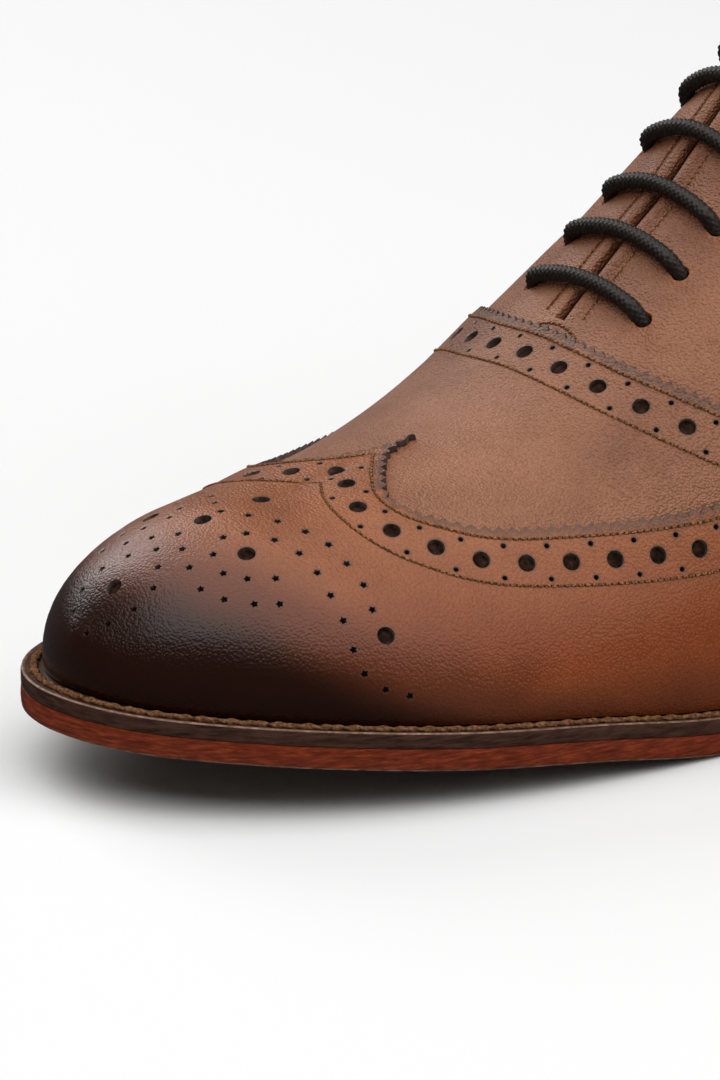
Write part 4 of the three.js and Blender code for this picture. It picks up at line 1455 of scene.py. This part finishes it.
def build_stitches():
    made = []
    lines = [cap_line.beside(BAND_TO_STITCH), cap_line.beside(BAND_WIDTH)]
    made.append(stitch_piece("wing_cap_stitches", lines, cap_outer, "wing_cap"))
    shown = vamp_line
    lines = [shown.beside(BAND_TO_STITCH), shown.beside(BAND_WIDTH)]
    lines = [clear_of_cap(line) for line in lines]
    made.append(stitch_piece("vamp_stitches", lines, vamp_outer, "vamp"))
    t, near, far = opening()
    kept = t > t_at(THROAT_FOOT + 1)
    lines = [Path(t[kept], near[kept]).beside(-FOLD_WIDTH), Path(t[kept], far[kept]).beside(FOLD_WIDTH)]
    lines += [tack_line(-0.9), tack_line(-2.2)]
    made.append(stitch_piece("quarter_stitches", lines, quarter_face, "upper"))
    lines = [side.beside(-distance) for side in counter_sides() for distance in (2.6, 4.6)]
    made.append(stitch_piece("counter_stitches", lines, counter_outer, "heel_counter"))
    return made


def tack_line(further):
    """The short curved row that holds the foot of the throat together."""
    r = np.linspace(-5.0, 8.5, 15)
    y = THROAT_FOOT + further - 1.6 * ((r - 1.0) / 7.0) ** 2
    return Path(t_at(y), from_ridge(t_at(y), np.where(r > 0, 1, -1), np.abs(r)))


def clear_of_cap(line):
    kept = ahead_of(CAP_EDGE, line.t, line.v) < -2.0
    return Path(line.t[kept], line.v[kept])


def slab(rows, profile, centre_top, centre_bottom):
    """A solid round the foot line: profile gives (outward, height) pairs from top to bottom for each t."""
    grid = []
    for t in rows:
        pairs = profile(t)
        lateral = [foot_line(t, 1, d)[0][:2] for d, _ in pairs]
        medial = [foot_line(t, -1, d)[0][:2] for d, _ in pairs]
        row = [(*p, z) for p, (_, z) in zip(lateral, pairs)]
        middle = (np.array(lateral[-1]) + medial[-1]) / 2
        row.append((*middle, centre_bottom(t)))
        row += [(*p, z) for p, (_, z) in list(zip(medial, pairs))[::-1]]
        middle = (np.array(lateral[0]) + medial[0]) / 2
        row.append((*middle, centre_top(t)))
        grid.append(row)
    points, faces = sweep(grid, closed_rows=False)
    return points, faces


def outward_faces(points, faces):
    """The same faces, turned so that the solid's volume is positive."""
    volume = 0.0
    for face in faces:
        a = points[face[0]]
        for j in range(1, len(face) - 1):
            volume += np.dot(a, np.cross(points[face[j]], points[face[j + 1]]))
    return faces if volume > 0 else [tuple(face[::-1]) for face in faces]


SOLE_ROWS = np.concatenate((np.array((0, 0.002, 0.006, 0.011, 0.017)), foot_steps(0.024, 1.0, 1.7)[:-1],
                            np.array((0.9985, 1.0))))
SEAM = 0.12


def edge_of(t):
    return float(section(t)["edge"][0]) * WELT_WIDTH


def build_outsole():
    def profile(t):
        e, low = edge_of(t), float(sole_bottom(t)[0])
        top = low + OUTSOLE_THICKNESS + SEAM
        return ((e - 3.0, top), (e - 0.45, top), (e - 0.12, top - 0.16), (e + 0.05, top - 1.0),
                (e + 0.1, low + 2.0),
                (e + 0.02, low + 0.8), (e - 0.12, low + 0.34), (e - 0.5, low), (e - 5.0, low))

    points, faces = slab(SOLE_ROWS, profile, lambda t: float(sole_bottom(t)[0]) + OUTSOLE_THICKNESS + SEAM,
                         lambda t: float(sole_bottom(t)[0]))
    per_row = 20
    finish = []
    for face in faces:
        j = face[0] % per_row
        k = j if j < 9 else per_row - 2 - j - 0
        lower = {6: 1, 7: 2, 8: 2}.get(j, {11: 1, 10: 2, 9: 2}.get(j, 0))
        finish.append(lower)
    faces = outward_faces(points, faces)
    return make_piece("outsole_leather", points, faces,
                      (use("sole edge"), use("bevelled welt"), use("tread leather")),
                      finish, slot="outsole", stands_for=("outsole",), angle=50)


def build_welt():
    def profile(t):
        e = edge_of(t)
        low = float(sole_bottom(t)[0]) + OUTSOLE_THICKNESS + SEAM
        top = float(foot_height(t)[0]) - SEAT_GAP + 0.15
        return ((-WELT_INSET, top - 0.2), (0.0, top - 0.25), (e - 2.9, top - 0.3), (e - 0.7, top - 0.2),
                (e - 0.42, top),
                (e - 0.1, top - 0.22), (e + 0.02, top - 0.7), (e, low + 0.3), (e - 0.15, low),
                (-WELT_INSET, low))

    points, faces = [], []
    finish = []
    for side in (1, -1):
        grid = []
        for t in SOLE_ROWS:
            pairs = profile(t)
            grid.append([(*foot_line(t, side, d)[0][:2], z) for d, z in pairs])
        more, quads = sweep(grid, closed_rows=False)
        quads = outward_faces(more, quads)
        start = sum(len(p) for p in points)
        for face in quads:
            columns = {k % 10 for k in face}
            finish.append(1 if columns in ({4, 5}, {3, 4}) else 0)
        points.append(more)
        faces += [tuple(k + start for k in face) for face in quads]
    return make_piece("welt_leather", np.vstack(points), faces, (use("welt leather"), use("bevelled welt")),
                      finish,
                      slot="welt", stands_for=("welt",), angle=30)


WELT_STITCH = 4.3


def build_welt_band():
    points, faces = [], []
    run_t = np.concatenate((SOLE_ROWS, SOLE_ROWS[-2::-1]))
    sides = np.concatenate((np.ones(len(SOLE_ROWS)), -np.ones(len(SOLE_ROWS) - 1)))
    e = section(run_t)["edge"] * WELT_WIDTH
    line = foot_line(run_t, sides, 0.0)
    normal = plan_normal(run_t, sides)
    line[:, :2] += normal * (e * 0.42)[:, None]
    line[:, 2] += -SEAT_GAP + 0.15
    fine = smooth_line(line[::3], 0.45)
    length = np.arange(len(fine)) * 0.45
    swell = np.abs(np.sin(np.pi * length / WELT_STITCH)) ** 0.6
    sides_round = 10
    angle = np.arange(sides_round) * 2 * np.pi / sides_round
    twist = np.cos(2 * angle[None] + length[:, None] * 2.4)
    radii = 0.34 + 0.36 * swell[:, None] + 0.12 * twist
    ups = np.tile((0.0, 0.0, 1.0), (len(fine), 1))
    more, quads = rings_to_tube(fine, ups, sides_round, radii, squash=np.full(len(fine), 0.8))
    return make_piece("welt_thread", more, quads, (use("welt thread"),), slot="welt", angle=80)


def build_insole():
    def profile(t):
        low = float(sole_bottom(t)[0]) + OUTSOLE_THICKNESS + SEAT_GAP
        top = low + 3.4
        d = -WELT_INSET - SEAT_GAP
        return ((d - 4, top - 0.2), (d - 0.5, top + 0.1), (d, top - 0.4), (d, low + 0.4), (d - 0.4, low))

    points, faces = slab(SOLE_ROWS, profile,
                         lambda t: float(sole_bottom(t)[0]) + OUTSOLE_THICKNESS + SEAT_GAP + 2.9,
                         lambda t: float(sole_bottom(t)[0]) + OUTSOLE_THICKNESS + SEAT_GAP)
    faces = outward_faces(points, faces)
    return make_piece("insole_leather", points, faces, (use("lining leather"),), slot="insole",
                      stands_for=("insole",))


def build_heel():
    front = float(t_at(SHOE_LENGTH - HEEL_LENGTH))
    rows = foot_steps(front, 1.0, 2.0)
    rows = np.concatenate((rows[:-1], (0.9985, 1.0)))
    made = []
    low = 0.0
    names = ("top_piece", "heel_lift_1", "heel_lift_2", "heel_lift_3")
    for level, name in enumerate(names):
        if level < 3:
            high = low + HEEL_LAYERS[level]
            top = lambda t, high=high: high + SEAT_GAP - 0.06
        else:
            top = lambda t: float(sole_bottom(t)[0]) - 0.05
        taper = HEEL_TAPER * (3 - level)

        def profile(t, low=low, top=top, taper=taper):
            e, z = edge_of(t) - taper, top(t)
            soft = min(0.22, (z - low) / 4)
            return ((e - 2, z), (e - soft, z), (e, z - soft), (e, low + soft), (e - soft, low),
                    (e - 2, low))

        points, faces = slab(rows, profile, top, lambda t, low=low: low)
        width = len(points) // len(rows)
        faces.append(tuple(range(width)))
        faces = outward_faces(points, faces)
        material = use("heel rubber") if level == 0 else use("stacked leather")
        made.append(
            make_piece(f"{name}_finish", points, faces, (material,), slot="top_piece" if level == 0 else (
            "heel_lift"), stands_for=(name,), angle=35))
        if level < 3:
            low = high + SEAT_GAP
    return made


# The camera, read from the photo: it looks down at the shoe's outer side from well ahead of it
PIVOT = (-0.0017, -0.0621, 0.040)
AZIMUTH = 49.45
ELEVATION = 17.34
DISTANCE = 1.5937
FOCAL_PIXELS = 9106.0
FRAME_WIDTH, FRAME_HEIGHT = 720, 1080
PIVOT_PIXEL = (477.0, 478.5)
CAMERA_ROLL = -0.29


def place_camera():
    a, e = math.radians(AZIMUTH), math.radians(ELEVATION)
    back = Vector((math.sin(a) * math.cos(e), -math.cos(a) * math.cos(e), math.sin(e)))
    data = bpy.data.cameras.new("camera")
    data.sensor_fit = "VERTICAL"
    data.sensor_height = 24.0
    data.lens = FOCAL_PIXELS / FRAME_HEIGHT * data.sensor_height
    data.shift_x = (FRAME_WIDTH / 2 - PIVOT_PIXEL[0]) / FRAME_HEIGHT
    data.shift_y = (PIVOT_PIXEL[1] - FRAME_HEIGHT / 2) / FRAME_HEIGHT
    data.clip_end = 20
    camera = bpy.data.objects.new("camera", data)
    bpy.context.scene.collection.objects.link(camera)
    turn = back.to_track_quat("Z", "Y").to_matrix() @ Matrix.Rotation(math.radians(CAMERA_ROLL), 3, "Z")
    camera.matrix_world = Matrix.Translation(Vector(PIVOT) + back * DISTANCE) @ turn.to_4x4()
    bpy.context.scene.camera = camera
    return camera


def soft_light(name, place, target, size, power, color=(1, 1, 1), tall=None):
    data = bpy.data.lights.new(name, "AREA")
    data.shape = "RECTANGLE"
    data.size = size
    data.size_y = tall or size
    data.energy = power
    data.color = color
    lamp = bpy.data.objects.new(name, data)
    bpy.context.scene.collection.objects.link(lamp)
    lamp.location = place
    lamp.rotation_euler = (Vector(place) - Vector(target)).to_track_quat("Z", "Y").to_euler()
    return lamp


def build_stage():
    bpy.ops.object.select_all(action="DESELECT")
    bpy.ops.mesh.primitive_plane_add(size=12, location=(0, 0, 0))
    floor = bpy.context.object
    floor.name = "floor"
    s = Surface("pale floor", tuple(bpy.context.scene.shoe_looks.floor), 0.8)
    floor.data.materials.append(s.material)
    floor.visible_glossy = False
    world = bpy.data.worlds.new("studio") if not bpy.data.worlds else bpy.data.worlds[0]
    bpy.context.scene.world = world
    world.use_nodes = True
    world.node_tree.nodes["Background"].inputs[0].default_value = (1, 1, 1, 1)
    world.node_tree.nodes["Background"].inputs[1].default_value = 0.06
    power = bpy.context.scene.shoe_looks.light
    soft_light("top light", (0.15, -0.25, 1.3), (0, -0.03, 0.0), 2.2, 29 * power)
    soft_light("far light", (-1.3, 0.1, 0.8), (0, -0.05, 0.05), 0.8, 7.0 * power)
    soft_light("side light", (1.3, 0.6, 0.9), (0, 0.0, 0.04), 1.0, 6.5 * power)
    bpy.context.scene.view_settings.view_transform = "Standard"
    place_camera()


class ShoeSizes(bpy.types.PropertyGroup):
    big_hole: bpy.props.FloatProperty(
        name="Big hole", description="Diameter of the larger punched holes", default=0.0031, min=0.001,
        max=0.005,
        unit="LENGTH")
    small_hole: bpy.props.FloatProperty(
        name="Small hole", description="Diameter of the smaller punched holes", default=0.001, min=0.0004,
        max=0.002, unit="LENGTH")
    pinking_pitch: bpy.props.FloatProperty(
        name="Pinking pitch", description="Distance from tooth to tooth along a cut edge", default=0.00235,
        min=0.001, max=0.006, unit="LENGTH")
    pinking_depth: bpy.props.FloatProperty(
        name="Pinking depth", description="How far a tooth stands out", default=0.00115, min=0.0002,
        max=0.003,
        unit="LENGTH")
    stitch_pitch: bpy.props.FloatProperty(
        name="Stitch pitch", description="Distance from stitch to stitch", default=0.00125, min=0.0008,
        max=0.005,
        unit="LENGTH")
    thread_diameter: bpy.props.FloatProperty(
        name="Thread", description="Diameter of the sewing thread", default=0.00056, min=0.0002, max=0.001,
        unit="LENGTH")
    lace_diameter: bpy.props.FloatProperty(
        name="Lace", description="Diameter of the round lace", default=LACE_DIAMETER / 1000, min=0.001,
        max=0.004,
        unit="LENGTH")


def color_property(name, description, default):
    return bpy.props.FloatVectorProperty(
        name=name, description=description, default=default, subtype="COLOR", size=3, min=0.0, max=1.0)


class ShoeLooks(bpy.types.PropertyGroup):
    leather: color_property("Leather", "Colour of vamp and quarters", (0.300, 0.116, 0.053))
    toe_leather: color_property("Toe leather", "Colour of the wing cap behind its dark toe",
                                (0.305, 0.102, 0.038))
    burnish_and_shade: color_property("Burnish", "Colour of the darkest part of the toe", (0.0130, 0.0026, 0.0007))
    thread: color_property("Thread", "Colour of the stitches", (0.165, 0.060, 0.016))
    lace: color_property("Lace", "Colour of the lace", (0.015, 0.0105, 0.0080))
    welt: color_property("Welt", "Colour of the welt's side", (0.050, 0.020, 0.011))
    sole: color_property("Sole", "Colour of the sole's side", (0.150, 0.021, 0.0045))
    floor: color_property("Floor", "Colour of the studio floor", (0.85, 0.85, 0.85))
    grain: bpy.props.FloatProperty(
        name="Grain", description="Strength of the leather's grain", default=1.0, min=0.0, max=3.0,
        subtype="FACTOR")
    light: bpy.props.FloatProperty(
        name="Light", description="Strength of the studio lights", default=1.0, min=0.1, max=4.0,
        subtype="FACTOR")


class SHOE_OT_cap(bpy.types.Operator):
    """Cut and punch the wing cap"""
    bl_idname = "shoe.cap"
    bl_label = "Wing cap"

    def execute(self, context):
        build_cap()
        return {"FINISHED"}


class SHOE_OT_vamp(bpy.types.Operator):
    """Cut and punch the vamp"""
    bl_idname = "shoe.vamp"
    bl_label = "Vamp"

    def execute(self, context):
        build_vamp()
        return {"FINISHED"}


class SHOE_OT_quarters(bpy.types.Operator):
    """Shape the quarters with throat, collar and eyelets"""
    bl_idname = "shoe.quarters"
    bl_label = "Quarters"

    def execute(self, context):
        build_upper()
        return {"FINISHED"}


class SHOE_OT_counter(bpy.types.Operator):
    """Cut the heel counter"""
    bl_idname = "shoe.counter"
    bl_label = "Heel counter"

    def execute(self, context):
        build_counter()
        return {"FINISHED"}


class SHOE_OT_tongue(bpy.types.Operator):
    """Shape the tongue under the lacing"""
    bl_idname = "shoe.tongue"
    bl_label = "Tongue"

    def execute(self, context):
        build_tongue()
        return {"FINISHED"}


class SHOE_OT_laces(bpy.types.Operator):
    """Run the braided lace through the eyelets"""
    bl_idname = "shoe.laces"
    bl_label = "Laces"

    def execute(self, context):
        build_laces()
        return {"FINISHED"}


class SHOE_OT_stitches(bpy.types.Operator):
    """Sew the rows of stitches on all panels"""
    bl_idname = "shoe.stitches"
    bl_label = "Stitches"

    def execute(self, context):
        build_stitches()
        return {"FINISHED"}


class SHOE_OT_outsole(bpy.types.Operator):
    """Shape the leather outsole"""
    bl_idname = "shoe.outsole"
    bl_label = "Outsole"

    def execute(self, context):
        build_outsole()
        return {"FINISHED"}


class SHOE_OT_welt(bpy.types.Operator):
    """Shape the welt and its raised thread"""
    bl_idname = "shoe.welt"
    bl_label = "Welt"

    def execute(self, context):
        build_welt()
        build_welt_band()
        return {"FINISHED"}


class SHOE_OT_insole(bpy.types.Operator):
    """Shape the insole"""
    bl_idname = "shoe.insole"
    bl_label = "Insole"

    def execute(self, context):
        build_insole()
        return {"FINISHED"}


class SHOE_OT_heel(bpy.types.Operator):
    """Stack the heel lifts on the top piece"""
    bl_idname = "shoe.heel"
    bl_label = "Heel"

    def execute(self, context):
        build_heel()
        return {"FINISHED"}


class SHOE_OT_studio(bpy.types.Operator):
    """Set the floor, the lights and the camera"""
    bl_idname = "shoe.studio"
    bl_label = "Studio"

    def execute(self, context):
        build_stage()
        return {"FINISHED"}


STEPS = (
    SHOE_OT_cap,
    SHOE_OT_vamp,
    SHOE_OT_quarters,
    SHOE_OT_counter,
    SHOE_OT_tongue,
    SHOE_OT_laces,
    SHOE_OT_stitches,
    SHOE_OT_outsole,
    SHOE_OT_welt,
    SHOE_OT_insole,
    SHOE_OT_heel,
    SHOE_OT_studio,
)


class SHOE_PT_panel(bpy.types.Panel):
    """Sizes, colours and steps of the shoe"""
    bl_idname = "SHOE_PT_panel"
    bl_label = "Brogue oxford"
    bl_space_type = "VIEW_3D"
    bl_region_type = "UI"
    bl_category = "Shoe"

    def draw(self, context):
        for settings in (context.scene.shoe_sizes, context.scene.shoe_looks):
            box = self.layout.box()
            for name in settings.bl_rna.properties.keys():
                if name not in ("rna_type", "name"):
                    box.prop(settings, name)
        column = self.layout.column(align=True)
        for step in STEPS:
            column.operator(step.bl_idname)


CLASSES = (ShoeSizes, ShoeLooks, *STEPS, SHOE_PT_panel)


def register():
    for kind in CLASSES:
        bpy.utils.register_class(kind)
    bpy.types.Scene.shoe_sizes = bpy.props.PointerProperty(type=ShoeSizes)
    bpy.types.Scene.shoe_looks = bpy.props.PointerProperty(type=ShoeLooks)


def unregister():
    del bpy.types.Scene.shoe_looks
    del bpy.types.Scene.shoe_sizes
    for kind in reversed(CLASSES):
        bpy.utils.unregister_class(kind)


def main():
    register()
    bpy.ops.shoe.cap()
    bpy.ops.shoe.vamp()
    bpy.ops.shoe.quarters()
    bpy.ops.shoe.counter()
    bpy.ops.shoe.tongue()
    bpy.ops.shoe.laces()
    bpy.ops.shoe.stitches()
    bpy.ops.shoe.outsole()
    bpy.ops.shoe.welt()
    bpy.ops.shoe.insole()
    bpy.ops.shoe.heel()
    bpy.ops.shoe.studio()


if __name__ == "__main__":
    main()
